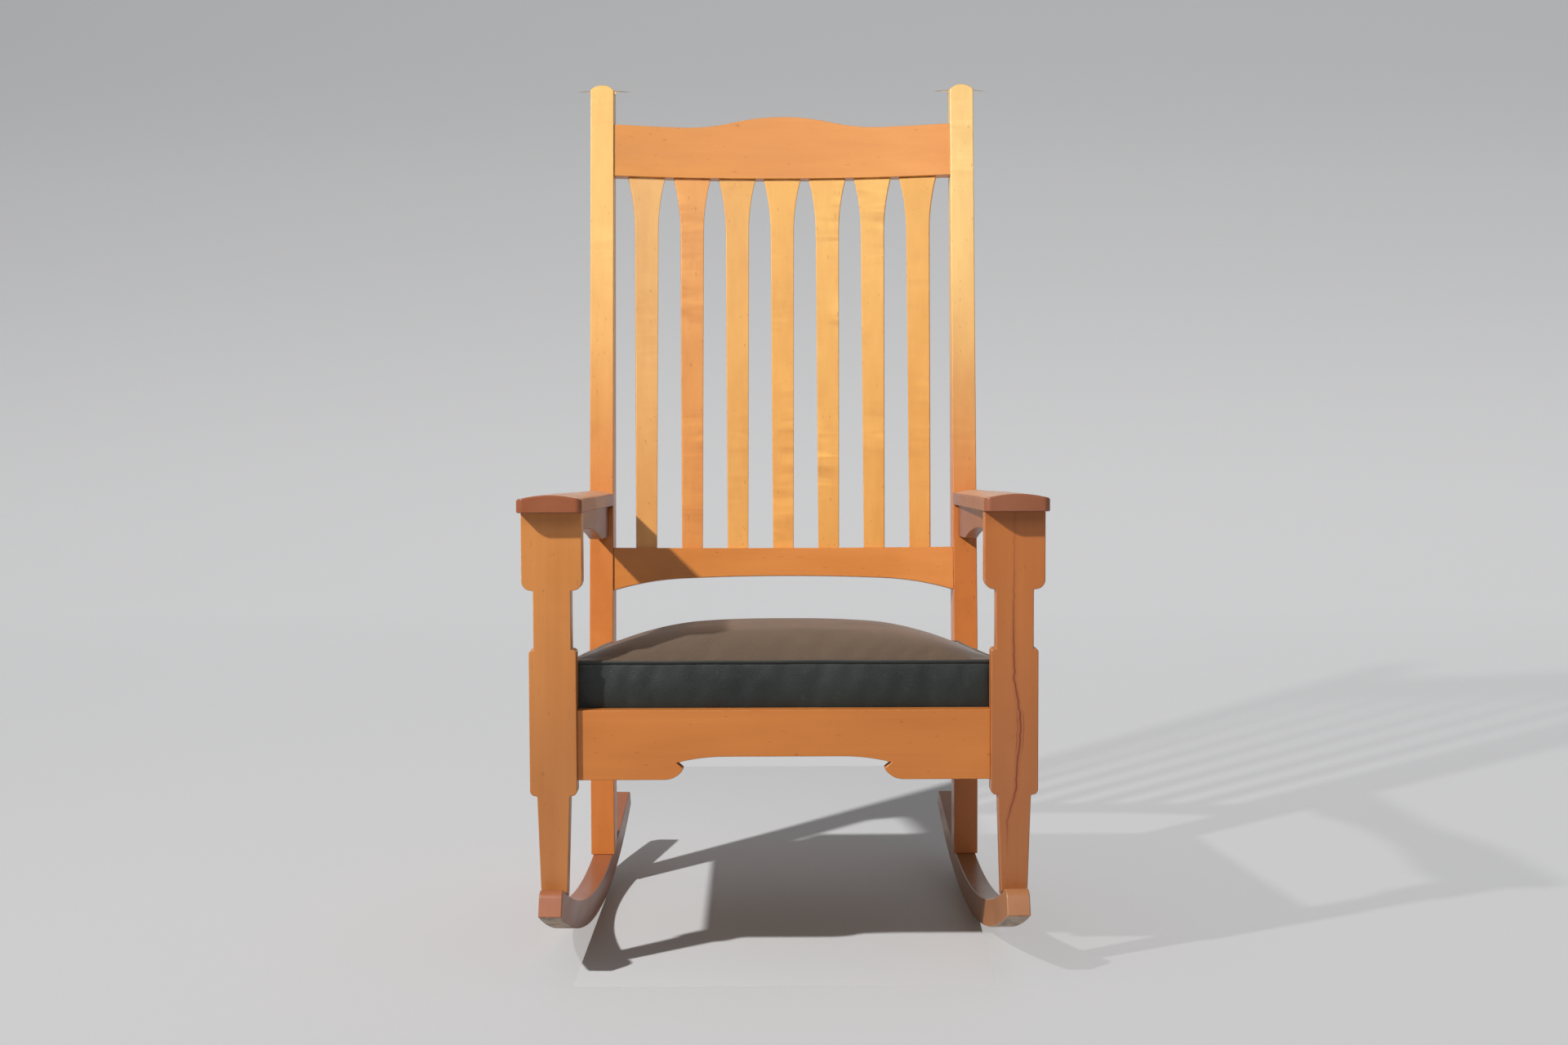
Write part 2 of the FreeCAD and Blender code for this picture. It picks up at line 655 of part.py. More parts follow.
def make_front_leg(name, side):
    foot_from = cell.balance_back
    foot_z = rocker_centre_z - root(rocker_top_radius * rocker_top_radius - foot_from * foot_from)
    half = {part: getattr(cell, part + "_width") / 2 for part in ("block", "neck", "middle", "ankle", "foot")}
    floor_half = half["foot"] - (half["ankle"] - half["foot"]) * foot_z / (cell.middle_bottom - foot_z)
    right = [
        (floor_half, 0),
        (half["ankle"], cell.middle_bottom - cell.cove, Arc(cell.cove, -1)),
        (half["ankle"] + cell.cove, cell.middle_bottom),
        (half["middle"] - cell.ankle_round, cell.middle_bottom, Arc(cell.ankle_round, 1)),
        (half["middle"], cell.middle_bottom + cell.ankle_round),
        (half["middle"], cell.middle_top - cell.middle_round, Arc(cell.middle_round, 1)),
        (half["middle"] - cell.middle_round, cell.middle_top),
        (half["neck"], cell.middle_top),
        (half["neck"], cell.block_bottom - cell.cove, Arc(cell.cove, -1)),
        (half["neck"] + cell.cove, cell.block_bottom),
        (half["block"] - cell.block_round, cell.block_bottom, Arc(cell.block_round, 1)),
        (half["block"], cell.block_bottom + cell.block_round),
        (half["block"], cell.arm_height),
    ]
    label = "front_leg_" + name
    frame = [(side * cell.leg_spacing / 2, leg_y, 0, UPWARD, 0)]
    board = padded(label + "_board", "XZ_Plane", right + mirror_image(right), cell.leg_thick, frame, backward=True)
    reach = cell.block_width
    below_arm = block(
        label + "_below_arm",
        arm_frame(side),
        (-reach, -reach, -cell.arm_height),
        (2 * reach, 2 * reach, cell.arm_height),
    )
    trimmed = shared(label + "_trimmed", [board, rocker_hollow(label, side), below_arm])
    whole = fused(label + "_whole", [trimmed, arm_tenon(name, side).solid()])
    holes = [
        front_rail_tenon(name, side).hole(),
        side_rail_front_tenon(name, side).hole(),
        apron_front_tenon(name, side).hole(),
        leg_screw(name, side).hole(),
    ]
    return without(label, whole, holes)


def mirror_image(right):
    """The left half of an outline whose right half goes up: the same corners back down, arcs moved with them."""
    left = []
    for index in range(len(right) - 1, -1, -1):
        corner = (-right[index][0], right[index][1])
        before = right[index - 1] if index else ()
        left.append(corner + (before[2],) if len(before) == 3 else corner)
    return left


# Rear posts

def make_rear_post(name, side):
    lean_sin, lean_cos = sine(cell.back_lean), cosine(cell.back_lean)
    top = cell.post_length + cell.post_dome
    bend = cell.post_bend_height
    rear_bend = bend - cell.post_bend_depth * tangent(cell.back_lean / 2)
    corners = [
        (0, 0),
        (cell.post_foot_depth, 0),
        (cell.post_bend_depth, rear_bend),
        (top * lean_sin + cell.post_top_depth * lean_cos, bend + top * lean_cos - cell.post_top_depth * lean_sin),
        (top * lean_sin, bend + top * lean_cos),
        (0, bend),
    ]
    label = "rear_post_" + name
    frame = [(side * cell.post_spacing / 2, post_y, 0, UPWARD, 0)]
    body = padded(label + "_board", "YZ_Plane", corners, cell.post_width, frame, symmetric=True)
    rounded(body, [(0, 0, bend), (0, cell.post_bend_depth, rear_bend)], cell.post_bend_round)
    centre = side * cell.post_spacing / 2
    half = cell.post_width / 2
    dome_radius = arc_radius(half, cell.post_dome)
    depth = AMPLE * cell.post_top_depth
    over = block(
        label + "_over_top",
        moved(BACK, centre, 0, cell.post_length),
        (-cell.post_width, -depth / 2, 0),
        (2 * cell.post_width, depth, 2 * cell.post_dome),
    )
    dome = rod(
        label + "_dome",
        moved(BACK, centre, depth, cell.post_length + cell.post_dome - dome_radius, ACROSS, 90),
        dome_radius,
        2 * depth,
    )
    trimmed = shared(label + "_trimmed", [body, rocker_hollow(label, side)])
    holes = [
        without(label + "_top_waste", over, [dome]),
        rear_rail_tenon(name, side).hole(),
        side_rail_rear_tenon(name, side).hole(),
        crest_tenon(name, side).hole(),
        lower_tenon(name, side).hole(),
        apron_rear_tenon(name, side).hole(),
        post_screw(name, side).hole(),
        arm_screw(name, side).hole(),
    ]
    return without(label, trimmed, holes)


# The back: two bowed rails with seven splats between them

bow_front_radius = arc_radius(post_inner, cell.back_bow)
bow_centre_y = cell.back_rail_setback + cell.back_bow - bow_front_radius
bow_middle_radius = bow_front_radius + cell.back_rail_thick / 2


def bowed_plank(label, bottom, height):
    """A plank curved back between the posts, seen from above."""
    rear_radius = bow_front_radius + cell.back_rail_thick
    rear_end = bow_centre_y + root(rear_radius * rear_radius - post_inner * post_inner)
    corners = [
        (-post_inner, cell.back_rail_setback, Arc(bow_front_radius, -1)),
        (post_inner, cell.back_rail_setback),
        (post_inner, rear_end, Arc(rear_radius, 1)),
        (-post_inner, rear_end),
    ]
    return padded(label, "XY_Plane", corners, height, moved(BACK, z=bottom))


def back_rail(label, bottom, height, corners, tenon, splat_end):
    """The plank cut to its outline, with its tenons and the splats' mortises."""
    plank = bowed_plank(label + "_plank", bottom, height)
    depth = cell.back_rail_setback + cell.back_bow + cell.back_rail_thick
    face = padded(label + "_face", "XZ_Plane", corners, 2 * AMPLE * depth, BACK, symmetric=True)
    shaped = shared(label + "_shaped", [plank, face])
    whole = fused(label + "_whole", [shaped] + [tenon(name, side).solid() for name, side in SIDES])
    return without(label, whole, [splat_end(number).hole() for number in range(SPLATS)])


def splat_frame(number):
    across = cell.splat_pitch * (number - (SPLATS - 1) / 2)
    depth = bow_centre_y + root(bow_middle_radius * bow_middle_radius - across * across)
    return moved(BACK, across, depth, 0, UPWARD, -arc_sine(across / bow_middle_radius))


def splat_tenon(number, name, low_z):
    low = (-cell.splat_tenon_width / 2, -cell.splat_thick / 2, low_z)
    size = (cell.splat_tenon_width, cell.splat_thick, cell.splat_tenon)
    return Tenon(f"splat_{number + 1}_{name}", splat_frame(number), low, size)


def splat_head_tenon(number):
    return splat_tenon(number, "head", cell.crest_bottom)


def splat_foot_tenon(number):
    return splat_tenon(number, "foot", cell.lower_top - cell.splat_tenon)


def make_crest_rail():
    end_top = cell.crest_bottom + cell.crest_height
    dip_top = end_top - cell.crest_dip
    half_rise = cell.crest_rise / 2
    quarter = cell.crest_rise_half / 2
    swing = arc_radius(quarter, half_rise)
    corners = [
        (-post_inner, cell.crest_bottom),
        (post_inner, cell.crest_bottom),
        (post_inner, end_top),
        (cell.crest_rise_half, dip_top, Arc(swing, -1)),
        (quarter, dip_top + half_rise, Arc(swing, 1)),
        (0, dip_top + cell.crest_rise, Arc(swing, 1)),
        (-quarter, dip_top + half_rise, Arc(swing, -1)),
        (-cell.crest_rise_half, dip_top),
        (-post_inner, end_top),
    ]
    height = cell.crest_height + cell.crest_rise
    return back_rail("crest_rail", cell.crest_bottom, height, corners, crest_tenon, splat_head_tenon)


def make_lower_back_rail():
    bottom = cell.lower_top - cell.lower_height
    half, shoulder = cell.lower_arch_half, cell.lower_arch_shoulder
    crown_radius = arc_radius(half, cell.lower_arch_crown)
    run = post_inner - half
    chord = root(run * run + shoulder * shoulder)
    turn = arc_tangent(shoulder / run) - arc_sine(half / crown_radius)
    end_radius = chord / (2 * sine(turn))
    corners = [
        (-post_inner, bottom, Arc(end_radius, -1)),
        (-half, bottom + shoulder, Arc(crown_radius, -1)),
        (half, bottom + shoulder, Arc(end_radius, -1)),
        (post_inner, bottom),
        (post_inner, cell.lower_top),
        (-post_inner, cell.lower_top),
    ]
    return back_rail(
        "lower_back_rail", bottom, cell.lower_height, corners, lower_tenon, splat_foot_tenon
    )


def make_splat(number):
    foot_z, head_z = cell.lower_top, cell.crest_bottom
    neck_z = head_z - cell.splat_flare
    foot, neck, head = cell.splat_foot_width / 2, cell.splat_neck_width / 2, cell.splat_head_width / 2
    swell = arc_radius(cell.splat_flare, head - neck)
    corners = [
        (-foot, foot_z),
        (foot, foot_z),
        (neck, neck_z, Arc(swell, -1)),
        (head, head_z),
        (-head, head_z, Arc(swell, -1)),
        (-neck, neck_z),
    ]
    label = f"splat_{number + 1}"
    board = padded(label + "_board", "XZ_Plane", corners, cell.splat_thick, splat_frame(number), symmetric=True)
    return fused(label, [board, splat_head_tenon(number).solid(), splat_foot_tenon(number).solid()])


# The seat frame's four rails

def make_front_rail():
    bottom = cell.rail_top - cell.rail_height
    nose_x = middle_inner - cell.tongue_reach
    tip_x = nose_x - cell.tongue_nose
    tip_z = bottom + cell.tongue_nose_rise
    notch_x, notch_z = tip_x + cell.tongue_notch, tip_z + cell.tongue_notch_rise
    arch_x, arch_z = notch_x - cell.arch_reach, notch_z + cell.arch_rise
    nose = arc_radius(cell.tongue_nose, cell.tongue_nose_rise)
    arch = arc_radius(cell.arch_reach, cell.arch_rise)
    corners = [
        (-middle_inner, bottom),
        (-nose_x, bottom, Arc(nose, 1)),
        (-tip_x, tip_z),
        (-notch_x, notch_z, Arc(arch, -1)),
        (-arch_x, arch_z),
        (arch_x, arch_z, Arc(arch, -1)),
        (notch_x, notch_z),
        (tip_x, tip_z, Arc(nose, 1)),
        (nose_x, bottom),
        (middle_inner, bottom),
        (middle_inner, cell.rail_top),
        (-middle_inner, cell.rail_top),
    ]
    frame = [(0, leg_back_y, 0, UPWARD, 0)]
    board = padded("seat_rail_front_board", "XZ_Plane", corners, cell.rail_thick, frame)
    return fused("seat_rail_front", [board] + [front_rail_tenon(name, side).solid() for name, side in SIDES])


def make_rear_rail():
    low = (-post_inner, post_y, rear_rail_top - cell.rail_height)
    board = block("seat_rail_rear_board", [], low, (2 * post_inner, cell.rail_thick, cell.rail_height))
    return fused("seat_rail_rear", [board] + [rear_rail_tenon(name, side).solid() for name, side in SIDES])


def make_side_rail(name, side):
    label = "seat_rail_" + name
    over = cell.side_rail_thick
    length = cell.frame_depth + 2 * over
    board = block(
        label + "_board",
        rail_frame(side),
        (-cell.side_rail_thick / 2, -over, -cell.rail_height),
        (cell.side_rail_thick, length, cell.rail_height),
    )
    between = block(
        label + "_between",
        [],
        (-cell.leg_spacing, leg_back_y, 0),
        (2 * cell.leg_spacing, cell.frame_depth - cell.leg_thick, AMPLE * cell.rail_top),
    )
    tenons = [side_rail_front_tenon(name, side).solid(), side_rail_rear_tenon(name, side).solid()]
    return fused(label, [shared(label + "_trimmed", [board, between])] + tenons)


# What the drop-in seat rests on

seat_bottom = -cell.slip_thick - cell.leather_thick - cell.seat_rest_gap


def make_corner_block(end, name, side):
    """A three-cornered block in one corner of the seat frame, its top in the plane of the seat."""
    slope = side_slope
    edge = cell.side_rail_thick / 2 / cosine(taper)
    start = leg_back_y if end == "front" else post_y
    inward = 1 if end == "front" else -1
    fall = 0 if end == "front" else cell.frame_depth - cell.leg_thick

    def rail_side(y):
        return cell.leg_spacing / 2 - edge - slope * (y - leg_y)

    along = start + inward * cell.block_size
    corners = [
        (side * rail_side(start), start),
        (side * rail_side(along), along),
        (side * (rail_side(start) - cell.block_size), start),
    ]
    if side * inward < 0:
        corners.reverse()
    label = f"corner_block_{end}_{name}"
    low = cell.rail_top + seat_bottom - rail_fall * fall - cell.block_height
    prism = padded(label + "_prism", "XY_Plane", corners, AMPLE * cell.block_height, [(0, 0, low, UPWARD, 0)])
    depth = AMPLE * cell.frame_depth
    below = block(label + "_below_seat", SEAT, (-depth, -depth, seat_bottom - depth), (2 * depth, 2 * depth, depth))
    return shared(label, [prism, below])


def make_ledger(name, side):
    length = cell.frame_depth - cell.leg_thick - 2 * cell.ledger_inset
    inner = cell.side_rail_thick / 2
    low = (inner, cell.ledger_inset, seat_bottom - cell.ledger_height)
    size = (cell.ledger_width, length, cell.ledger_height)
    return block("seat_ledger_" + name, rail_frame(side), mirrored_low(-side, low, size), size)


# Arms and the rails under them

def make_arm(name, side):
    inner = cell.arm_front_width / 2
    rear_inner = cell.leg_spacing / 2 - post_inner
    rear_outer = cell.post_spacing / 2 + cell.arm_rear_outer - cell.leg_spacing / 2
    front, corner = -cell.arm_overhang, cell.arm_corner
    sweep_start = front + cell.arm_wide_length
    sweep_end = sweep_start + cell.arm_sweep_length
    draw = inner - rear_outer
    sweep = arc_radius(cell.arm_sweep_length / 2, draw / 2)
    long_end = cell.frame_depth + cell.post_bend_depth
    right = [
        (-inner + corner, front),
        (inner - corner, front, Arc(corner, 1)),
        (inner, front + corner),
        (inner, sweep_start, Arc(sweep, 1)),
        (inner - draw / 2, sweep_start + cell.arm_sweep_length / 2, Arc(sweep, -1)),
        (rear_outer, sweep_end),
        (rear_outer, long_end),
        (-rear_inner, long_end),
        (-inner, front + corner, Arc(corner, 1)),
    ]
    corners = right if side > 0 else other_hand(right)
    label = "arm_" + name
    board = padded(label + "_board", "XY_Plane", corners, cell.arm_thick, arm_frame(side))
    length = AMPLE * cell.frame_depth
    crown_frame = moved(arm_frame(side), 0, length - cell.frame_depth / 2, cell.arm_thick - cell.arm_crown_radius)
    crown = rod(label + "_crown", moved(crown_frame, axis=ACROSS, angle=90), cell.arm_crown_radius, length)
    shaped = shared(label + "_shaped", [board, crown, before_back(label)])
    return without(label, shaped, [arm_tenon(name, side).hole(), arm_screw(name, side).hole()])


def other_hand(corners):
    """The mirror image of a whole outline, still anticlockwise."""
    turned = []
    for index in range(len(corners) - 1, -1, -1):
        before = corners[index - 1]
        corner = (-corners[index][0], corners[index][1])
        turned.append(corner + (before[2],) if len(before) == 3 else corner)
    return turned


def make_apron(name, side):
    over = cell.apron_thick
    start, end = cell.leg_thick, cell.frame_depth
    middle_from, middle_to = start + cell.apron_flat, arm_rear_y - cell.apron_flat
    arch = arc_radius((middle_to - middle_from) / 2, cell.apron_rise)
    corners = [
        (start - over, -cell.apron_depth),
        (middle_from, -cell.apron_depth, Arc(arch, -1)),
        (middle_to, -cell.apron_depth),
        (end + cell.post_bend_depth, -cell.apron_depth),
        (end + cell.post_bend_depth, 0),
        (start - over, 0),
    ]
    label = "arm_apron_" + name
    board = padded(label + "_board", "YZ_Plane", corners, cell.apron_thick, apron_frame(side), symmetric=True)
    trimmed = shared(label + "_trimmed", [board, behind_leg(label), before_back(label)])
    tenons = [apron_front_tenon(name, side).solid(), apron_rear_tenon(name, side).solid()]
    return fused(label, [trimmed] + tenons)


# Screws and plugs

def make_rocker_screws():
    screws = []
    for name, side in SIDES:
        screws.append(leg_screw(name, side).solid())
        screws.append(post_screw(name, side).solid())
    return compound("rocker_screws", screws)


def make_arm_screws():
    return compound("arm_screws", [arm_screw(name, side).solid() for name, side in SIDES])


def make_arm_plugs():
    plugs = []
    for name, side in SIDES:
        screw = arm_screw(name, side)
        frame = moved(screw.frame, z=-cell.counterbore)
        plugs.append(rod("arm_plug_" + name, frame, cell.screw_head, cell.plug_thick))
    return compound("arm_plugs", plugs)


# The drop-in seat. Its frame's Y runs back along the seat, its Z squarely up from it.

seat_depth = (cell.frame_depth - cell.leg_thick) / cosine(cell.seat_pitch) - cell.seat_rear_gap
seat_corner = cell.leg_spacing / 2 - cell.side_rail_thick / 2 / cosine(taper) - cell.seat_side_gap


def seat_half(depth):
    """Half the seat's width over the leather, so far back from the front rail."""
    return seat_corner - side_slope * (depth + cell.leg_thick)


slip_front = cell.seat_front_gap + cell.leather_thick
slip_rear = seat_depth - cell.leather_thick


def slip_half(depth):
    return seat_half(depth) - cell.leather_thick - cell.draw_in


def make_slip_end(label, near, far):
    """The front or rear member of the seat's wooden frame."""
    corners = [
        (-slip_half(near), near),
        (slip_half(near), near),
        (slip_half(far), far),
        (-slip_half(far), far),
    ]
    board = padded(label + "_board", "XY_Plane", corners, cell.slip_thick, moved(SEAT, z=-cell.slip_thick))
    ends = [slip_tenon(name, side, label) for name, side in SIDES]
    return without(label, board, [tenon.hole() for tenon in ends])


def slip_tenon(name, side, label):
    front = label.endswith("front")
    joint_y = slip_front + cell.slip_width if front else slip_rear - cell.slip_width
    middle = slip_half(joint_y) - cell.slip_width / 2
    width = cell.slip_width / 2
    low_y = joint_y - cell.slip_tenon if front else joint_y
    low = (middle - width / 2, low_y, -(cell.slip_thick + cell.slip_tenon_thick) / 2)
    size = (width, cell.slip_tenon, cell.slip_tenon_thick)
    return Tenon(f"{label}_{name}", SEAT, mirrored_low(side, low, size), size)


def make_slip_side(name, side):
    near, far = slip_front + cell.slip_width, slip_rear - cell.slip_width
    corners = [
        (slip_half(near) - cell.slip_width, near),
        (slip_half(near), near),
        (slip_half(far), far),
        (slip_half(far) - cell.slip_width, far),
    ]
    if side < 0:
        corners = other_hand(corners)
    label = "seat_frame_" + name
    board = padded(label + "_board", "XY_Plane", corners, cell.slip_thick, moved(SEAT, z=-cell.slip_thick))
    tenons = [slip_tenon(name, side, end).solid() for end in ("seat_frame_front", "seat_frame_rear")]
    return fused(label, [board] + tenons)


def make_webbing():
    """Straps tacked over the frame: the long ones first, the cross ones over them."""
    straps = []
    land = cell.webbing_land
    inner_half = slip_half(slip_rear) - land
    for number in range(LONG_STRAPS):
        pitch = (2 * inner_half - cell.webbing_width) / (LONG_STRAPS - 1)
        middle = pitch * (number - (LONG_STRAPS - 1) / 2)
        low = (middle - cell.webbing_width / 2, slip_front + cell.slip_width - land, 0)
        length = slip_rear - slip_front - 2 * (cell.slip_width - land)
        straps.append(block(f"long_strap_{number + 1}", SEAT, low, (cell.webbing_width, length, cell.webbing_thick)))
    for number in range(CROSS_STRAPS):
        inside = slip_rear - slip_front - 2 * cell.slip_width
        step = inside / CROSS_STRAPS
        middle = slip_front + cell.slip_width + step * (number + 0.5)
        half = slip_half(middle) - (cell.slip_width - land)
        low = (-half, middle - cell.webbing_width / 2, cell.webbing_thick)
        straps.append(
            block(f"cross_strap_{number + 1}", SEAT, low, (2 * half, cell.webbing_width, cell.webbing_thick))
        )
    return compound("seat_webbing", straps)


def crown_share(along):
    """How much of the crown is reached, from 0 at the edges of the seat to 1 in the middle."""
    return (1 - abs(2 * along - 1) ** CROWN_SQUARE) ** CROWN_FULL


def drawn_half(depth, along):
    """Half the seat's width where its long sides pull in, as a plain number."""
    return seat_half(as_size(depth)).number - cell.draw_in.number * 4 * along * (1 - along)


def cushion_section(depth, along, bottom, inset):
    """One upright section of the seat: straight sides and a top of three arcs."""
    half = drawn_half(depth, along) - inset
    welt = cell.boxing_height.number - inset
    rise = cell.crown_edge.number + (cell.crown_height.number - cell.crown_edge.number) * crown_share(along)
    shoulder, fall = SHOULDER_OUT * half, SHOULDER_FALL * rise
    top_radius = (shoulder * shoulder + fall * fall) / (2 * fall)
    right = FreeCAD.Vector(shoulder, depth, welt + rise - fall)
    edge = FreeCAD.Vector(half, depth, welt)
    chord = edge - right
    turn = math.atan2(right.z - edge.z, edge.x - right.x) - math.asin(shoulder / top_radius)
    side_radius = chord.Length / (2 * math.sin(turn))
    bulge = side_radius - math.sqrt(side_radius**2 - chord.Length**2 / 4)
    outward = FreeCAD.Vector(-chord.z, 0, chord.x).normalize() * bulge
    middle_right = (right + edge) * 0.5 + outward
    flip = [FreeCAD.Vector(-p.x, p.y, p.z) for p in (edge, middle_right, right)]
    top = FreeCAD.Vector(0, depth, welt + rise)
    low_left, low_right = FreeCAD.Vector(-half, depth, bottom), FreeCAD.Vector(half, depth, bottom)
    return Part.Wire([
        Part.makeLine(low_left, low_right),
        Part.makeLine(low_right, edge),
        Part.Arc(edge, middle_right, right).toShape(),
        Part.Arc(right, top, flip[2]).toShape(),
        Part.Arc(flip[2], flip[1], flip[0]).toShape(),
        Part.makeLine(flip[0], low_left),
    ])


def cushion_form(bottom, inset):
    """The seat's crowned form, smaller all round by the inset."""
    front, rear = cell.seat_front_gap.number + inset, seat_depth.number - inset
    wires = []
    for step in range(CUSHION_STEPS + 1):
        share = (1 - math.cos(math.pi * step / CUSHION_STEPS)) / 2
        wires.append(cushion_section(front + (rear - front) * share, share, bottom, inset))
    return Part.makeLoft(wires, True, True)


def seat_placement():
    tilt = FreeCAD.Rotation(FreeCAD.Vector(*ACROSS), -cell.seat_pitch.number)
    return FreeCAD.Placement(FreeCAD.Vector(0, leg_back_y.number, cell.rail_top.number), tilt)


def formed(label, shape):
    piece = doc.addObject("Part::Feature", label)
    piece.Label = label
    piece.Shape = shape
    piece.Placement = seat_placement()
    return piece


spring_base = 2 * cell.webbing_thick
seat_middle = (cell.seat_front_gap + seat_depth) / 2


def prism(ring, low, high):
    """The solid over a four-cornered plan, from one height to another."""
    corners = [FreeCAD.Vector(x, y, low) for x, y in ring]
    return Part.Face(Part.makePolygon(corners + corners[:1])).extrude(FreeCAD.Vector(0, 0, high - low))


def seat_plan(inset):
    """The seat's four corners, moved in from its outside."""
    near, far = cell.seat_front_gap.number + inset, seat_depth.number - inset
    near_half, far_half = (seat_half(as_size(depth)).number - inset for depth in (near, far))
    return [(-near_half, near), (near_half, near), (far_half, far), (-far_half, far)]


def make_filling():
    """The stuffing, which closes the springs in all round and above."""
    pad = cushion_form(0.0, cell.leather_thick.number)
    ceiling = (spring_base + cell.spring_height).number
    room = prism(seat_plan(cell.edge_stuffing.number), -cell.leather_thick.number, ceiling)
    return formed("seat_filling", pad.cut(room).cut(welt_cord()))


def make_springs():
    """Coil springs that stand on the webbing, one in the middle and four round it."""
    wire, radius = cell.spring_wire.number, cell.spring_radius.number
    lift = WIRE_BELOW * wire
    rise = cell.spring_height.number - 2 * lift
    corners = SPRING_TURNS * SPRING_SIDES
    points = []
    for corner in range(corners + 1):
        angle = 2 * math.pi * corner / SPRING_SIDES
        climb = rise * corner / corners
        points.append(FreeCAD.Vector(radius * math.cos(angle), radius * math.sin(angle), climb))
    ahead = (points[1] - points[0]).normalize()
    outward = ahead.cross(FreeCAD.Vector(0, 0, 1)).normalize()
    upward = outward.cross(ahead)
    square = [points[0] + (outward * x + upward * z) * (wire / 2) for x, z in ((-1, -1), (1, -1), (1, 1), (-1, 1))]
    section = Part.makePolygon(square + square[:1])
    coil = Part.makePolygon(points).makePipeShell([section], True, False, MITRED)
    spread, depth = cell.spring_spread.number, cell.spring_depth.number
    spots = [(0, 0)] + [(x * spread, y * depth) for x in (-1, 1) for y in (-1, 1)]
    height = spring_base.number + lift
    coils = []
    for x, y in spots:
        standing = coil.copy()
        standing.translate(FreeCAD.Vector(x, seat_middle.number + y, height))
        coils.append(standing)
    return formed("seat_springs", Part.makeCompound(coils))


def make_leather_cover():
    """A top panel and a boxing that turns under the frame, parted by the cord in their seam."""
    skin = cell.leather_thick.number
    under = -cell.slip_thick.number - skin
    outside = cushion_form(under, 0.0)
    inside = cushion_form(under + skin, skin)
    opening = prism(seat_plan(cell.leather_turn.number), under - skin, under + 2 * skin)
    return formed("leather_cover", outside.cut(inside).cut(opening).cut(welt_cord()))


def make_welt():
    """The cord sewn into the seam between the cover's sides and its top."""
    return formed("welt", welt_cord())


def welt_cord():
    """A round cord along the top edge of the cover's sides, mitred at the corners."""
    near, far = cell.seat_front_gap.number, seat_depth.number
    level = cell.boxing_height.number
    right = []
    for step in range(WELT_STEPS + 1):
        share = step / WELT_STEPS
        depth = near + (far - near) * share
        right.append(FreeCAD.Vector(drawn_half(depth, share), depth, level))
    left = [FreeCAD.Vector(-point.x, point.y, point.z) for point in reversed(right)]
    middle = FreeCAD.Vector(0, near, level)
    section = Part.Wire(Part.makeCircle(cell.welt_radius.number, middle, FreeCAD.Vector(*ACROSS)))
    return Part.makePolygon([middle] + right + left + [middle]).makePipeShell([section], True, False, MITRED)


# Everything, in the order it would be put together

pieces = []
for name, side in SIDES:
    pieces.append(make_rocker(name, side))
    pieces.append(make_front_leg(name, side))
    pieces.append(make_rear_post(name, side))
    pieces.append(make_side_rail(name, side))
    pieces.append(make_apron(name, side))
    pieces.append(make_arm(name, side))
    pieces.append(make_ledger(name, side))
    pieces.append(make_slip_side(name, side))
    for end in ("front", "rear"):
        pieces.append(make_corner_block(end, name, side))
pieces.append(make_front_rail())
pieces.append(make_rear_rail())
pieces.append(make_crest_rail())
pieces.append(make_lower_back_rail())
pieces += [make_splat(number) for number in range(SPLATS)]
pieces.append(make_rocker_screws())
pieces.append(make_arm_screws())
pieces.append(make_arm_plugs())
pieces.append(make_slip_end("seat_frame_front", slip_front, slip_front + cell.slip_width))
pieces.append(make_slip_end("seat_frame_rear", slip_rear - cell.slip_width, slip_rear))
pieces.append(make_webbing())
pieces.append(make_springs())
pieces.append(make_filling())
pieces.append(make_leather_cover())
pieces.append(make_welt())
doc.recompute()

faults = [thing.Label for thing in doc.Objects if {"Invalid", "Error"} & set(thing.State)]
for piece in pieces:
    if piece.Shape.isNull() or not piece.Shape.isValid() or not piece.Shape.Solids:
        faults.append(piece.Label)
if faults:
    raise RuntimeError("These did not build: " + ", ".join(faults))

os.makedirs("parts", exist_ok=True)
for piece in pieces:
    piece.Shape.exportStep(f"parts/{piece.Label}.step")
    print(piece.Label, len(piece.Shape.Solids), round(piece.Shape.Volume / 1000, 1), "cm3")
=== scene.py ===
"""A slat-back rocking armchair with a boxed leather seat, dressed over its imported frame. Metres."""
import math

import bmesh
import bpy
from mathutils import Matrix, Vector, noise


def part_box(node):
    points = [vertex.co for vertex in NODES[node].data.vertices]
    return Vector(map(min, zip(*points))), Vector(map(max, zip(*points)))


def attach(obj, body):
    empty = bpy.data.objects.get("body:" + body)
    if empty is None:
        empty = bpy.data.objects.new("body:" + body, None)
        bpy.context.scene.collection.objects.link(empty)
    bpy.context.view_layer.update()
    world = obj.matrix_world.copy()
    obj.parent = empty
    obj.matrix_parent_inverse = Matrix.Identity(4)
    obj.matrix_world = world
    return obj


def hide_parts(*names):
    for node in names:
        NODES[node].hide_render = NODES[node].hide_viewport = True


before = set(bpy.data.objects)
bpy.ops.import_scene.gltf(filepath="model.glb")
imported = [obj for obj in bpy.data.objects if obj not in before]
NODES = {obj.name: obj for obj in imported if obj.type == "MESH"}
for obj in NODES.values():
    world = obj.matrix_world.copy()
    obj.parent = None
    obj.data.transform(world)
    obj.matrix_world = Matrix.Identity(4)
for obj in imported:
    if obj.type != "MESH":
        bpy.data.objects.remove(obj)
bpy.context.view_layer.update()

# Camera: where it stood, how far it looked down and how it was turned about its own axis

CAMERA_PLACE = (0.0011, -3.144, 0.735)
CAMERA_DOWN = 0.0587
CAMERA_ROLL = -0.0034
LENS_MM = 51.2
SENSOR_MM = 36.0

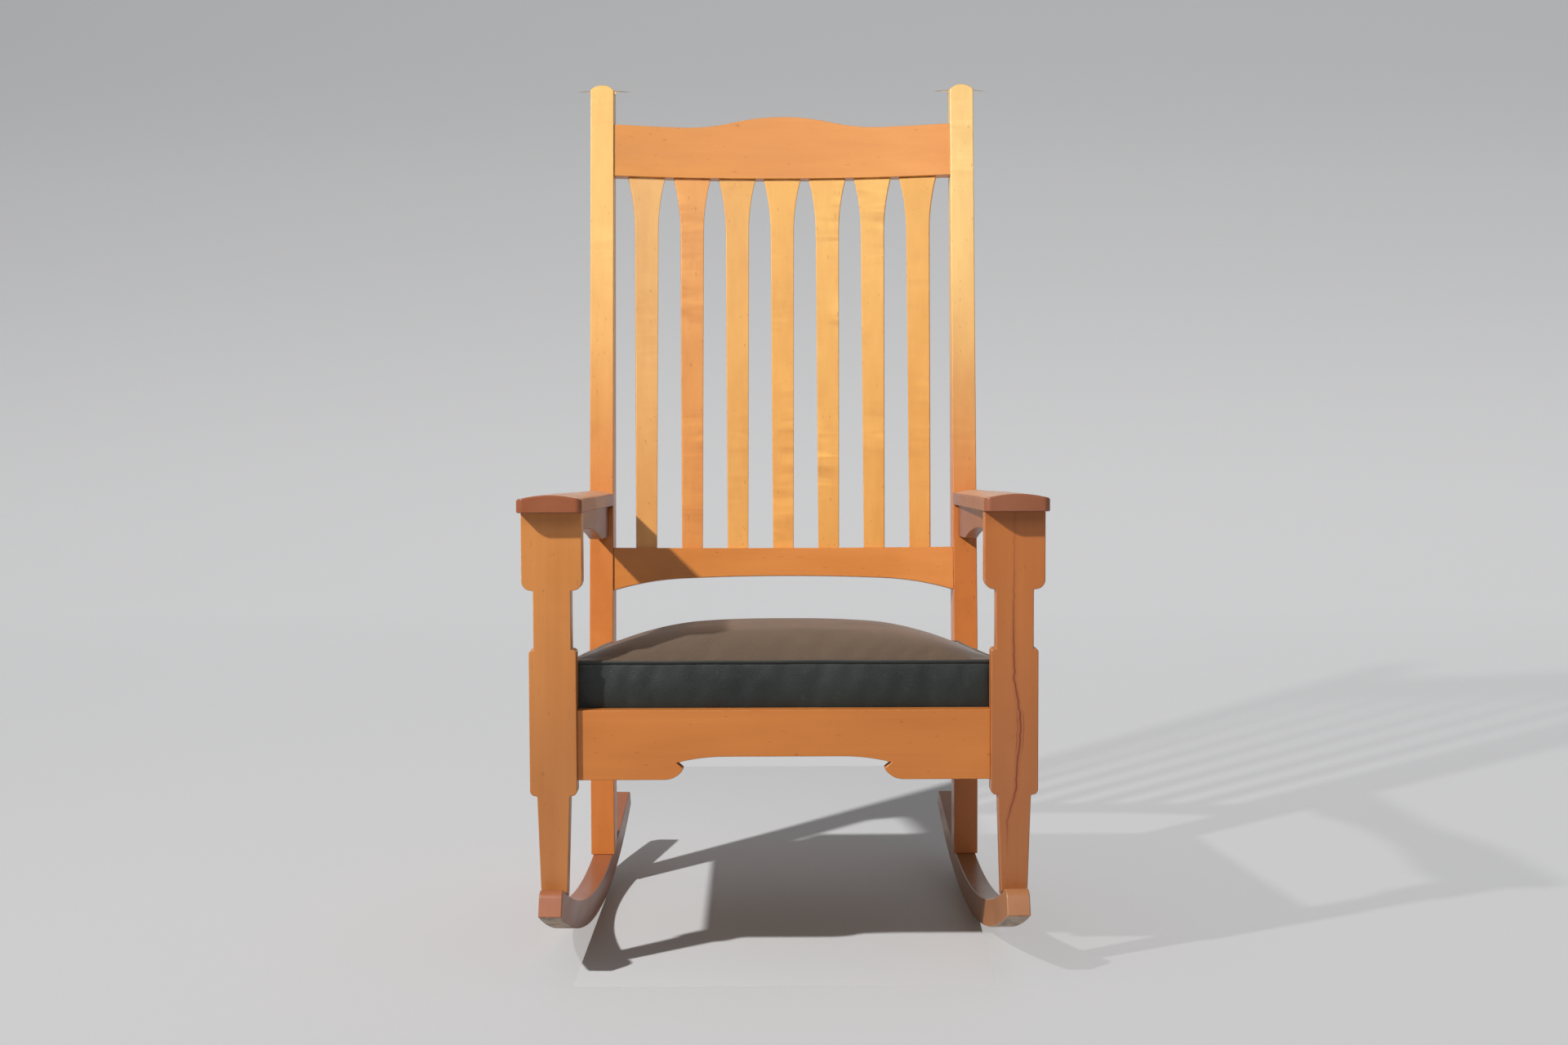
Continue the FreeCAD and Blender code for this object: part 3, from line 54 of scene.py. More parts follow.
camera_data = bpy.data.cameras.new("camera")
camera_data.lens = LENS_MM
camera_data.sensor_width = SENSOR_MM
camera = bpy.data.objects.new("camera", camera_data)
camera.matrix_world = (
    Matrix.Translation(CAMERA_PLACE)
    @ Matrix.Rotation(math.pi / 2 - CAMERA_DOWN, 4, "X")
    @ Matrix.Rotation(CAMERA_ROLL, 4, "Z")
)
scene = bpy.context.scene
scene.collection.objects.link(camera)
scene.camera = camera
scene.view_settings.view_transform = "Standard"


# Node graphs

class Graph:
    """A material's nodes, written as nested calls. A value is a socket, a number or a tuple."""

    def __init__(self, name):
        self.material = bpy.data.materials.new(name)
        self.material.use_nodes = True
        self.tree = self.material.node_tree
        self.shader = self.tree.nodes["Principled BSDF"]

    def add(self, kind, out, settings=(), **inputs):
        node = self.tree.nodes.new("ShaderNode" + kind)
        for name, value in settings:
            setattr(node, name, value)
        for name, value in inputs.items():
            number = name[1:]
            self.put(node.inputs[int(number) if number.isdigit() else name.replace("_", " ")], value)
        return node.outputs[out]

    def put(self, socket, value):
        if isinstance(value, bpy.types.NodeSocket):
            self.tree.links.new(value, socket)
        elif isinstance(value, tuple) and len(value) == 3 and socket.type == "RGBA":
            socket.default_value = (*value, 1)
        else:
            socket.default_value = value

    def point(self):
        return self.add("TexCoord", "Object")

    def facing(self):
        return self.add("NewGeometry", "Normal")

    def parts(self, vector):
        node = self.tree.nodes.new("ShaderNodeSeparateXYZ")
        self.put(node.inputs[0], vector)
        return node.outputs

    def turned(self, vector, turn, shift=(0, 0, 0)):
        return self.add("Mapping", 0, _0=vector, _1=shift, _2=turn)

    def scaled(self, vector, scale):
        return self.add("Mapping", 0, _0=vector, _3=scale)

    def noise(self, vector, scale=1.0, detail=2.0, rough=0.5, warp=0.0):
        look = {"Scale": scale, "Detail": detail, "Roughness": rough, "Distortion": warp}
        return self.add("TexNoise", 0, Vector=vector, **look)

    def cells(self, vector, scale, feature="F1"):
        return self.add("TexVoronoi", "Distance", [("feature", feature)], Vector=vector, Scale=scale)

    def math(self, operation, first, second=0.0, third=0.0, clamp=False):
        settings = [("operation", operation), ("use_clamp", clamp)]
        return self.add("Math", 0, settings, _0=first, _1=second, _2=third)

    def ramp(self, value, low, high, to_low=0.0, to_high=1.0):
        settings = [("interpolation_type", "SMOOTHSTEP")]
        return self.add("MapRange", 0, settings, _0=value, _1=low, _2=high, _3=to_low, _4=to_high)

    def mix(self, share, first, second, blend="MIX"):
        node = self.tree.nodes.new("ShaderNodeMix")
        node.data_type = "RGBA"
        node.blend_type = blend
        self.put(node.inputs[0], share)
        self.put(node.inputs[6], first)
        self.put(node.inputs[7], second)
        return node.outputs[2]

    def edge(self, radius):
        """1 on edges and corners, 0 on open faces."""
        soft = self.add("Bevel", 0, [("samples", 4)], Radius=radius)
        flat = self.facing()
        dot = self.add("VectorMath", "Value", [("operation", "DOT_PRODUCT")], _0=soft, _1=flat)
        return self.ramp(dot, 1.0, 0.86)

    def bump(self, height, distance, strength=1.0, under=None):
        node = self.tree.nodes.new("ShaderNodeBump")
        self.put(node.inputs["Height"], height)
        node.inputs["Distance"].default_value = distance
        node.inputs["Strength"].default_value = strength
        if under is not None:
            self.put(node.inputs["Normal"], under)
        return node.outputs[0]

    def finish(self, **inputs):
        for name, value in inputs.items():
            self.put(self.shader.inputs[name.replace("_", " ")], value)
        return self.material


def srgb(red, green, blue):
    """A colour as it is seen on a screen, 0 to 255, made linear."""
    return tuple(
        (c / 255) / 12.92 if c <= 10 else (((c / 255) + 0.055) / 1.055) ** 2.4 for c in (red, green, blue)
    )


# Wood: satin maple, honey-coloured and blotched, its grain along each piece

UP, ALONG_X, ALONG_Y = (0, 0, 0), (0, math.pi / 2, 0), (math.pi / 2, 0, 0)
BACK_LEAN = math.radians(6.56)
LEANING = (-BACK_LEAN, 0, 0)
UMBER = srgb(96, 52, 26)
DARKER, LIGHTER = (0.74, 0.62, 0.48), (1.26, 1.38, 1.52)
FOOT_HEIGHT, HEAD_HEIGHT = 0.15, 1.10
CLOUDS, STREAKS, FIBRES = (15, 15, 5), (110, 110, 2.6), (620, 620, 9)
CURLS, CURLED_AREAS, PINS = (10, 10, 58), (12, 12, 6), (380, 380, 90)
CLOUD_SHARE, STREAK_SHARE, FIBRE_SHARE = 0.55, 0.22, 0.10
EDGE_RADIUS = 0.0014
PALE_EDGE = srgb(246, 204, 150)


def wood(
    name, grain, seed, foot, head, figure=0.2, wear=0.2, streak=None, sole=False, span=None, upward=None
):
    """Foot and head are the colours at the two ends of the span of heights; where the head is lighter, that
    is partly the wood's own colour and partly painted light. Upward is the colour of a painted reflection on
    top faces.
    """
    g = Graph(name)
    point = g.point()
    here = g.turned(point, grain, (seed * 1.37, seed * 2.11, seed * 0.73))
    clouds = g.noise(g.scaled(here, CLOUDS), detail=2.0, rough=0.5, warp=0.3)
    streaks = g.noise(g.scaled(here, STREAKS), detail=2.0, rough=0.5)
    fibre = g.noise(g.scaled(here, FIBRES), detail=2.0, rough=0.6)
    curl = g.noise(g.scaled(here, CURLS), detail=1.0, warp=0.8)
    curl_here = g.ramp(g.noise(g.scaled(here, CURLED_AREAS), detail=1.0), 0.44, 0.66)
    pins = g.ramp(g.noise(g.scaled(here, PINS), detail=0.0), 0.79, 0.84)

    # Partly painted light: the colour runs from foot to head with height, so the upper parts come out lighter
    # and yellower. This stands partly for stronger light higher up and partly for the wood's own colour.
    low, high = span or (FOOT_HEIGHT, HEAD_HEIGHT)
    base = g.mix(g.ramp(g.parts(point)[2], low, high), srgb(*foot), srgb(*head))
    swing = 0.5
    for value, amount in ((clouds, CLOUD_SHARE), (streaks, STREAK_SHARE), (fibre, FIBRE_SHARE)):
        swing = g.math("ADD", swing, g.math("MULTIPLY", g.math("SUBTRACT", value, 0.5), amount))
    curled = g.math("MULTIPLY", g.math("MULTIPLY", g.math("SUBTRACT", curl, 0.5), curl_here), 2.2 * figure)
    base = g.mix(1.0, base, g.mix(g.math("ADD", swing, curled, clamp=True), DARKER, LIGHTER), "MULTIPLY")
    base = g.mix(g.math("MULTIPLY", pins, 0.3), base, UMBER)
    rub = g.ramp(g.noise(g.scaled(point, (70, 70, 70)), detail=3.0), 0.40, 0.62)
    edge = g.edge(EDGE_RADIUS)
    base = g.mix(g.math("MULTIPLY", g.math("MULTIPLY", edge, rub), wear), base, UMBER)
    paler = g.math("MULTIPLY", g.math("MULTIPLY", edge, g.math("SUBTRACT", 1.0, rub)), 0.3)
    base = g.mix(paler, base, PALE_EDGE)
    # Painted reflection: faces turned upward are mixed towards a pale pinkish colour, as if they mirrored the
    # bright surroundings at a grazing view.
    if upward is not None:
        base = g.mix(g.ramp(g.parts(g.facing())[2], 0.90, 0.99, 0.0, 0.9), base, srgb(*upward))
    if streak is not None:
        base = streak(g, point, base)
    rough = g.ramp(clouds, 0.3, 0.7, 0.34, 0.44)
    if sole:
        base, rough = worn_sole(g, point, base, rough)
    relief = g.bump(g.math("ADD", g.math("MULTIPLY", fibre, 0.6), streaks), 0.00008, 0.4)
    return g.finish(Base_Color=base, Roughness=rough, Normal=relief, Coat_Weight=0.12, Coat_Roughness=0.22)


# Where the streak bends: its height, then how far right of the middle it is
STREAK_BENDS = (
    (0.58, 0.2904), (0.42, 0.2892), (0.377, 0.2904), (0.316, 0.2986), (0.243, 0.2933), (0.185, 0.2820)
)


def mineral_streak(g, point, base):
    """A reddish streak that wanders down a leg, dark at its heart, with a short thin one beside it."""
    x, _, z = g.parts(point)
    middle = STREAK_BENDS[0][1]
    for (high, before), (low, after) in zip(STREAK_BENDS, STREAK_BENDS[1:]):
        middle = g.math("ADD", middle, g.ramp(z, high, low, 0.0, after - before))
    ragged = g.noise(g.scaled(point, (30, 30, 110)), detail=3.0)
    fray = g.math("MULTIPLY", g.math("SUBTRACT", ragged, 0.5), 0.004)
    off = g.math("ABSOLUTE", g.math("SUBTRACT", x, g.math("ADD", middle, fray)))
    strength = g.math("MULTIPLY", g.ramp(z, 0.13, 0.24), g.ramp(z, 0.56, 0.36, 0.25, 1.0))
    base = g.mix(g.math("MULTIPLY", g.ramp(off, 0.0050, 0.0, 0.0, 0.55), strength), base, srgb(138, 62, 34))
    base = g.mix(g.math("MULTIPLY", g.ramp(off, 0.0013, 0.0002, 0.0, 0.8), strength), base, srgb(84, 34, 22))
    beside = g.math("ABSOLUTE", g.math("SUBTRACT", off, 0.0042))
    short = g.math("MULTIPLY", g.ramp(z, 0.27, 0.29), g.ramp(z, 0.34, 0.32))
    return g.mix(g.math("MULTIPLY", g.ramp(beside, 0.0007, 0.0001, 0.0, 0.7), short), base, srgb(96, 40, 26))


def worn_sole(g, point, base, rough):
    """The sole is rubbed to bare grey wood, and grime darkens the lower edges."""
    down = g.math("MULTIPLY", g.parts(g.facing())[2], -1.0)
    patch = g.noise(g.scaled(point, (70, 16, 70)), detail=4.0, rough=0.65)
    bare = g.math("MULTIPLY", g.ramp(down, 0.15, 0.55), g.ramp(patch, 0.30, 0.50, 0.55, 1.0))
    grey = g.mix(g.ramp(patch, 0.35, 0.7), srgb(168, 146, 122), srgb(112, 92, 76))
    base = g.mix(bare, base, grey)
    return base, g.mix(bare, rough, (0.72, 0.72, 0.72))


# The head colours of the legs, posts and splats are lighter than their feet: partly their own colour, partly
# painted light.
LEG_SPAN, POST_SPAN = (0.15, 0.60), (0.45, 1.10)
# The pale, pinkish top of the arms is a painted reflection of the bright surroundings.
ARM_TOP_PAINTED_REFLECTION = (206, 160, 132)
WOODS = {
    "front_leg_left": (UP, 1, (168, 106, 54), (190, 122, 58), dict(figure=0.06, span=LEG_SPAN)),
    "front_leg_right": (
        UP, 2, (152, 92, 50), (170, 98, 42), dict(figure=0.06, span=LEG_SPAN, streak=mineral_streak)
    ),
    "rear_post_left": (LEANING, 3, (190, 110, 44), (218, 172, 94), dict(span=POST_SPAN)),
    "rear_post_right": (LEANING, 4, (182, 102, 40), (224, 184, 112), dict(span=POST_SPAN)),
    "crest_rail": (ALONG_X, 5, (200, 130, 58), (200, 130, 58), dict(figure=0.05, wear=0.1)),
    "lower_back_rail": (ALONG_X, 6, (195, 119, 48), (195, 119, 48), dict(figure=0.05)),
    "seat_rail_front": (ALONG_X, 7, (182, 108, 44), (182, 108, 44), dict(figure=0.05)),
    "seat_rail_rear": (ALONG_X, 8, (170, 104, 52), (170, 104, 52), {}),
    "seat_rail_left": (ALONG_Y, 9, (170, 104, 52), (170, 104, 52), {}),
    "seat_rail_right": (ALONG_Y, 10, (168, 100, 50), (168, 100, 50), {}),
    "arm_left": (ALONG_Y, 11, (138, 76, 44), (138, 76, 44), dict(figure=0.1, wear=0.3, upward=ARM_TOP_PAINTED_REFLECTION)),
    "arm_right": (ALONG_Y, 12, (136, 80, 52), (136, 80, 52), dict(figure=0.1, wear=0.3, upward=ARM_TOP_PAINTED_REFLECTION)),
    "arm_apron_left": (ALONG_Y, 13, (140, 82, 50), (140, 82, 50), {}),
    "arm_apron_right": (ALONG_Y, 14, (136, 80, 50), (136, 80, 50), {}),
    "rocker_left": (ALONG_Y, 15, (146, 86, 54), (146, 86, 54), dict(wear=0.5, sole=True)),
    "rocker_right": (ALONG_Y, 16, (152, 100, 62), (152, 100, 62), dict(wear=0.5, sole=True)),
    "splat_1": (LEANING, 21, (208, 140, 68), (212, 162, 98), dict(figure=0.15)),
    "splat_2": (LEANING, 22, (200, 122, 54), (208, 144, 76), dict(figure=0.45)),
    "splat_3": (LEANING, 23, (206, 140, 66), (210, 156, 82), dict(figure=0.25)),
    "splat_4": (LEANING, 24, (204, 132, 56), (210, 156, 78), dict(figure=0.5)),
    "splat_5": (LEANING, 25, (202, 134, 56), (208, 156, 78), dict(figure=0.8)),
    "splat_6": (LEANING, 26, (200, 132, 54), (206, 154, 76), dict(figure=0.5)),
    "splat_7": (LEANING, 27, (196, 124, 48), (200, 146, 66), dict(figure=0.2)),
    "arm_plugs": (ALONG_X, 28, (150, 90, 50), (150, 90, 50), {}),
}


def eased(node, width):
    """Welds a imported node's faces and eases its edges, by modifiers alone."""
    weld = node.modifiers.new("weld", "WELD")
    weld.merge_threshold = 1e-5
    flat = node.modifiers.new("flat", "DECIMATE")
    flat.decimate_type = "DISSOLVE"
    flat.angle_limit = math.radians(0.5)
    bevel = node.modifiers.new("ease", "BEVEL")
    bevel.width = width
    bevel.segments = 2
    bevel.limit_method = "ANGLE"
    bevel.angle_limit = math.radians(50)
    bevel.use_clamp_overlap = False
    normals = node.modifiers.new("normals", "WEIGHTED_NORMAL")
    normals.weight = 60
    normals.keep_sharp = False


def dress(node, material):
    """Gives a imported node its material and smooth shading, without the normals that it came with."""
    node.data.materials.clear()
    node.data.materials.append(material)
    attribute = node.data.attributes.get("custom_normal")
    if attribute is not None:
        node.data.attributes.remove(attribute)
    for name in ("sharp_edge", "sharp_face"):
        attribute = node.data.attributes.get(name)
        if attribute is not None:
            node.data.attributes.remove(attribute)
    for face in node.data.polygons:
        face.use_smooth = True


# How far the edges are eased, by the start of the node's name
EASE = {"rocker": 0.0016, "arm_left": 0.0018, "arm_right": 0.0018}
EASE |= {"rear": 0.0014, "front": 0.0012, "splat": 0.0010}

for name, (grain, seed, foot, head, extra) in WOODS.items():
    dress(NODES[name], wood(name, grain, seed, foot, head, **extra))
    widths = [width for start, width in EASE.items() if name.startswith(start)]
    eased(NODES[name], widths[0] if widths else 0.0009)


def plain_wood(name, grain, seed):
    """The pale, unvarnished wood of the pieces inside the seat frame."""
    g = Graph(name)
    here = g.turned(g.point(), grain, (seed * 1.9, seed * 0.7, seed * 1.3))
    threads = g.noise(g.scaled(here, (240, 240, 5)), detail=3.0)
    clouds = g.noise(g.scaled(here, (22, 22, 5)), detail=3.0)
    base = g.mix(clouds, srgb(206, 176, 132), srgb(168, 134, 92))
    base = g.mix(g.ramp(threads, 0.58, 0.40, 0.0, 0.35), base, srgb(128, 96, 62))
    return g.finish(
        Base_Color=base, Roughness=g.ramp(clouds, 0.3, 0.7, 0.62, 0.78), Normal=g.bump(threads, 0.0002, 0.6)
    )


INNER = {
    "seat_ledger_left": (ALONG_Y, 31),
    "seat_ledger_right": (ALONG_Y, 32),
    "seat_frame_left": (ALONG_Y, 33),
    "seat_frame_right": (ALONG_Y, 34),
    "seat_frame_front": (ALONG_X, 35),
    "seat_frame_rear": (ALONG_X, 36),
    "corner_block_front_left": (UP, 37),
    "corner_block_front_right": (UP, 38),
    "corner_block_rear_left": (UP, 39),
    "corner_block_rear_right": (UP, 40),
}
for name, (grain, seed) in INNER.items():
    dress(NODES[name], plain_wood(name, grain, seed))
    eased(NODES[name], 0.0008)


def steel(name, colour, rough):
    g = Graph(name)
    spots = g.noise(g.scaled(g.point(), (300, 300, 300)), detail=4.0)
    base = g.mix(g.ramp(spots, 0.5, 0.75), colour, srgb(112, 78, 56))
    return g.finish(Base_Color=base, Metallic=1.0, Roughness=g.ramp(spots, 0.3, 0.7, rough, rough + 0.25))


for name in ("rocker_screws", "arm_screws"):
    dress(NODES[name], steel(name, srgb(120, 112, 104), 0.38))
    eased(NODES[name], 0.0003)
dress(NODES["seat_springs"], steel("spring_steel", srgb(96, 92, 88), 0.35))

# Floor and backdrop in one sweep

FLOOR_NEAR, SWEEP_START, SWEEP_RADIUS, WALL_TOP, FLOOR_SIDE = -14.0, 4.4, 1.6, 9.0, 14.0


PAPER = (0.70, 0.70, 0.70)
FLOOR_GLOW, WALL_GLOW, GLOW_LOW, GLOW_HIGH = 0.35, 0.09, -0.2, 2.2
NEAR_TONE = 0.99
UNDER_CHAIR_LEFT = ((-0.262, -0.42), (-0.26, 0.06), (-0.29, 0.65), (-0.31, 0.92), (-0.32, 1.2))
UNDER_CHAIR_RIGHT = ((0.33, 1.2), (0.32, 0.92), (0.287, 0.65), (0.275, 0.06), (0.262, -0.42))


def paper(name, tone=1.0, glows=False):
    """Pale paper. The far piece glows, more on the floor than up the wall, so that it looks even."""
    g = Graph(name)
    if glows:
        glow = g.ramp(g.parts(g.point())[2], GLOW_LOW, GLOW_HIGH, FLOOR_GLOW, WALL_GLOW)
        g.finish(Emission_Color=(1.0, 1.0, 1.0), Emission_Strength=glow)
    base = tuple(shade * tone for shade in PAPER)
    return g.finish(Base_Color=base, Roughness=0.8, Specular_IOR_Level=0.2)


def laid(name, corners, faces, material):
    mesh = bpy.data.meshes.new(name)
    mesh.from_pydata(corners, [], faces)
    for face in mesh.polygons:
        face.use_smooth = True
    mesh.materials.append(material)
    piece = bpy.data.objects.new(name, mesh)
    scene.collection.objects.link(piece)
    return piece


def sweep(material):
    """The paper on the floor and up the wall, a hair below the chair's own patch of floor."""
    profile = [(FLOOR_NEAR, -0.0003), (SWEEP_START, -0.0003)]
    for step in range(1, 25):
        angle = math.pi / 2 * step / 24
        profile.append((SWEEP_START + SWEEP_RADIUS * math.sin(angle), SWEEP_RADIUS * (1 - math.cos(angle))))
    profile.append((SWEEP_START + SWEEP_RADIUS, WALL_TOP))
    corners = [(side * FLOOR_SIDE, y, z) for y, z in profile for side in (-1, 1)]
    faces = [(2 * k, 2 * k + 1, 2 * k + 3, 2 * k + 2) for k in range(len(profile) - 1)]
    return laid("backdrop", corners, faces, material)


backdrop = sweep(paper("paper", glows=True))
patch = [(x, y, 0) for x, y in (*UNDER_CHAIR_LEFT, *UNDER_CHAIR_RIGHT)]
near_paper = paper("near_paper", tone=NEAR_TONE)
under_chair = laid("floor_under_chair", patch, [tuple(range(len(patch)))], near_paper)


def lamp(name, place, size, power, colour=(1, 1, 1), even=0.0):
    """A disc or, with two sizes, a rectangle of light. With an even distance it doesn't weaken on its way."""
    data = bpy.data.lights.new(name, "AREA")
    data.shape = "DISK" if len(size) == 1 else "RECTANGLE"
    data.size = size[0]
    data.size_y = size[-1]
    data.energy = power
    data.color = colour
    if even:
        data.use_nodes = True
        falloff = data.node_tree.nodes.new("ShaderNodeLightFalloff")
        falloff.inputs["Strength"].default_value = 1 / even**2
        strength = data.node_tree.nodes["Emission"].inputs["Strength"]
        data.node_tree.links.new(falloff.outputs["Constant"], strength)
    light = bpy.data.objects.new(name, data)
    light.location = place
    light.rotation_euler = (Vector(CHAIR_MIDDLE) - Vector(place)).to_track_quat("-Z", "Y").to_euler()
    scene.collection.objects.link(light)
    return light


def linked(light, pieces, state="INCLUDE"):
    """Lights only the pieces given, or everything but them."""
    group = bpy.data.collections.new(light.name + "_receivers")
    for piece in pieces:
        group.objects.link(piece)
    for item in group.collection_objects:
        item.light_linking.link_state = state
    light.light_linking.receiver_collection = group


CHAIR_MIDDLE = (0, 0, 0.6)
KEY_PLACE, KEY_SIZE, KEY_COLOUR, KEY_EVEN = (-1.74, -1.654, 2.10), (0.10,), (1.0, 0.97, 0.93), 2.6
FILL_PLACE, FILL_SIZE = (0.3, -3.4, 2.5), (2.4, 1.2)
KEY_POWER, FILL_POWER, NEAR_PAPER_POWER, FAR_PAPER_POWER = 90, 22, 66, 13
PAPERS = (backdrop, under_chair)
linked(lamp("key", KEY_PLACE, KEY_SIZE, KEY_POWER, KEY_COLOUR, KEY_EVEN), PAPERS, "EXCLUDE")
linked(lamp("fill", FILL_PLACE, FILL_SIZE, FILL_POWER), PAPERS, "EXCLUDE")
linked(lamp("paper_key_near", KEY_PLACE, KEY_SIZE, NEAR_PAPER_POWER, even=KEY_EVEN), [under_chair])
linked(lamp("paper_key_far", KEY_PLACE, KEY_SIZE, FAR_PAPER_POWER, even=KEY_EVEN), [backdrop])

world = bpy.data.worlds.new("room")
scene.world = world
world.use_nodes = True
room_light = world.node_tree.nodes["Background"].inputs
room_light["Color"].default_value = (0.93, 0.95, 1.0, 1)
room_light["Strength"].default_value = 0.22

# The seat: a boxed leather cover swollen by its stuffing, with a piped seam

SEAT_PITCH = math.radians(3.5)
RAIL_LOW, RAIL_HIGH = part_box("seat_rail_front")
SEAT_FRAME = Matrix.Translation((0, RAIL_HIGH.y, RAIL_HIGH.z)) @ Matrix.Rotation(-SEAT_PITCH, 4, "X")

TO_SEAT = SEAT_FRAME.inverted()
COVER = [TO_SEAT @ v.co for v in NODES["leather_cover"].data.vertices]
WELT = [TO_SEAT @ v.co for v in NODES["welt"].data.vertices]
SEAT_FRONT, SEAT_REAR = min(v.y for v in COVER), max(v.y for v in COVER)
SEAT_UNDER, SEAT_TOP = min(v.z for v in COVER), max(v.z for v in COVER)
WELT_HEIGHT = (min(v.z for v in WELT) + max(v.z for v in WELT)) / 2
WELT_RADIUS = (max(v.z for v in WELT) - min(v.z for v in WELT)) / 2
FRONT_HALF = max(v.x for v in COVER if v.y < SEAT_FRONT + 0.001)
REAR_HALF = max(v.x for v in COVER if v.y > SEAT_REAR - 0.001)
EDGE_RISE = 0.003
SWELL_ROOM = 0.0055
DRAW_IN = 0.003
CORNER_ROUND = 0.009
TURNED_UNDER = 0.026
LEATHER_THICK = 0.0016
ACROSS_STEPS, BACK_STEPS = 72, 60
BOXING_ROWS = 14
STUFFING_PRESSURE, SETTLING_FRAMES, MOST_SWELL = 4.0, 20, 0.008


def spread(index, count):
    """From 0 to 1 in steps that get finer towards both ends."""
    even = index / count
    return 0.55 * even + 0.45 * (1 - math.cos(math.pi * even)) / 2


def seat_half(back):
    """Half the seat's width at a share of its depth, its sides pulled in between the corners."""
    return FRONT_HALF + (REAR_HALF - FRONT_HALF) * back - DRAW_IN * 4 * back * (1 - back)


def seat_point(across, back, height=0.0):
    """A point of the seat from shares of its width and depth, with the plan's corners rounded."""
    depth = SEAT_FRONT + (SEAT_REAR - SEAT_FRONT) * back
    half = seat_half(back)
    x = half * (2 * across - 1)
    side = half - abs(x)
    end = min(depth - SEAT_FRONT, SEAT_REAR - depth)
    if side < CORNER_ROUND and end < CORNER_ROUND:
        away = Vector((CORNER_ROUND - side, CORNER_ROUND - end))
        reach = max(away.x, away.y)
        new = away.normalized() * reach
        x -= math.copysign(away.x - new.x, x)
        depth += (away.y - new.y) * (1 if back < 0.5 else -1)
    return Vector((x, depth, height))


def crown(share):
    """The rise of the seat's top from an edge, 0, over the middle, 1, to the other edge."""
    return max(0.0, 1 - abs(2 * share - 1) ** 2.6) ** 0.8


def seam_drift(point):
    """How far the seam wanders up and down where the cover was pulled tight by hand."""
    return 0.0011 * noise.noise(Vector((point.x * 9, point.y * 9, 3.1)))


def cover_mesh():
    """The closed cover before it swells, in the seat's own frame, and which points its stitching holds."""
    mesh = bmesh.new()
    grid, held = {}, []
    span = SEAT_TOP - WELT_HEIGHT - SWELL_ROOM
    for i in range(ACROSS_STEPS + 1):
        for j in range(BACK_STEPS + 1):
            across, back = spread(i, ACROSS_STEPS), spread(j, BACK_STEPS)
            rise = EDGE_RISE + (span - EDGE_RISE) * crown(back)
            point = seat_point(across, back, WELT_HEIGHT + rise * crown(across))
            seam = i in (0, ACROSS_STEPS) or j in (0, BACK_STEPS)
            if seam:
                point.z = WELT_HEIGHT + seam_drift(point)
            grid[i, j] = mesh.verts.new(point)
            held.append(1.0 if seam else 0.0)
    rim = [(i, 0) for i in range(ACROSS_STEPS)]
    rim += [(ACROSS_STEPS, j) for j in range(BACK_STEPS)]
    rim += [(i, BACK_STEPS) for i in range(ACROSS_STEPS, 0, -1)]
    rim += [(0, j) for j in range(BACK_STEPS, 0, -1)]
    rings = [[grid[i, j] for i, j in rim]]
    for row in range(1, BOXING_ROWS + 1):
        share = row / BOXING_ROWS
        ring = []
        for i, j in rim:
            foot = seat_point(spread(i, ACROSS_STEPS), spread(j, BACK_STEPS), SEAT_UNDER)
            point = grid[i, j].co.lerp(foot, share)
            ring.append(mesh.verts.new(point))
            held.append(1.0 if point.z < 0.001 else 0.0)
        rings.append(ring)
    for row in range(BOXING_ROWS):
        for k in range(len(rim)):
            after = (k + 1) % len(rim)
            mesh.faces.new((rings[row][k], rings[row + 1][k], rings[row + 1][after], rings[row][after]))
    for i in range(ACROSS_STEPS):
        for j in range(BACK_STEPS):
            corners = [grid[i, j], grid[i + 1, j], grid[i + 1, j + 1], grid[i, j + 1]]
            mesh.faces.new(corners)
    turned = []
    for i, j in rim:
        here = seat_point(spread(i, ACROSS_STEPS), spread(j, BACK_STEPS), SEAT_UNDER)
        inward = Vector((-math.copysign(TURNED_UNDER, here.x), 0, 0)) if i in (0, ACROSS_STEPS) else Vector()
        if j in (0, BACK_STEPS):
            inward.y = TURNED_UNDER if j == 0 else -TURNED_UNDER
        turned.append(mesh.verts.new(here + inward))
        held.append(1.0)
    for k in range(len(rim)):
        after = (k + 1) % len(rim)
        mesh.faces.new((rings[-1][k], turned[k], turned[after], rings[-1][after]))
    mesh.faces.new(list(reversed(turned)))
    mesh.normal_update()
    made = bpy.data.meshes.new("seat_cover")
    mesh.to_mesh(made)
    mesh.free()
    return made, held


def swollen(cover, held, pressure, frames, most):
    """Lets the stuffing press the cover out between its seams, no point further than the limit."""
    group = cover.vertex_groups.new(name="held")
    for index, weight in enumerate(held):
        group.add([index], weight, "REPLACE")
    before = [v.co.copy() for v in cover.data.vertices]
    cloth = cover.modifiers.new("cloth", "CLOTH")
    cloth.settings.vertex_group_mass = "held"
    cloth.settings.use_pressure = True
    cloth.settings.uniform_pressure_force = pressure
    cloth.settings.effector_weights.gravity = 0
    cloth.settings.quality = 6
    cloth.settings.tension_stiffness = 20
    cloth.settings.compression_stiffness = 12
    cloth.settings.bending_stiffness = 1.2
    cloth.settings.shrink_min = -0.006
    cloth.point_cache.frame_start = 1
    cloth.point_cache.frame_end = frames
    for now in range(1, frames + 1):
        scene.frame_set(now)
    shape = cover.evaluated_get(bpy.context.evaluated_depsgraph_get()).data
    after = [v.co.copy() for v in shape.vertices]
    scene.frame_set(1)
    cover.modifiers.remove(cloth)
    for vertex, start, end in zip(cover.data.vertices, before, after):
        move = end - start
        if move.length > most:
            move *= most / move.length
        vertex.co = start + move


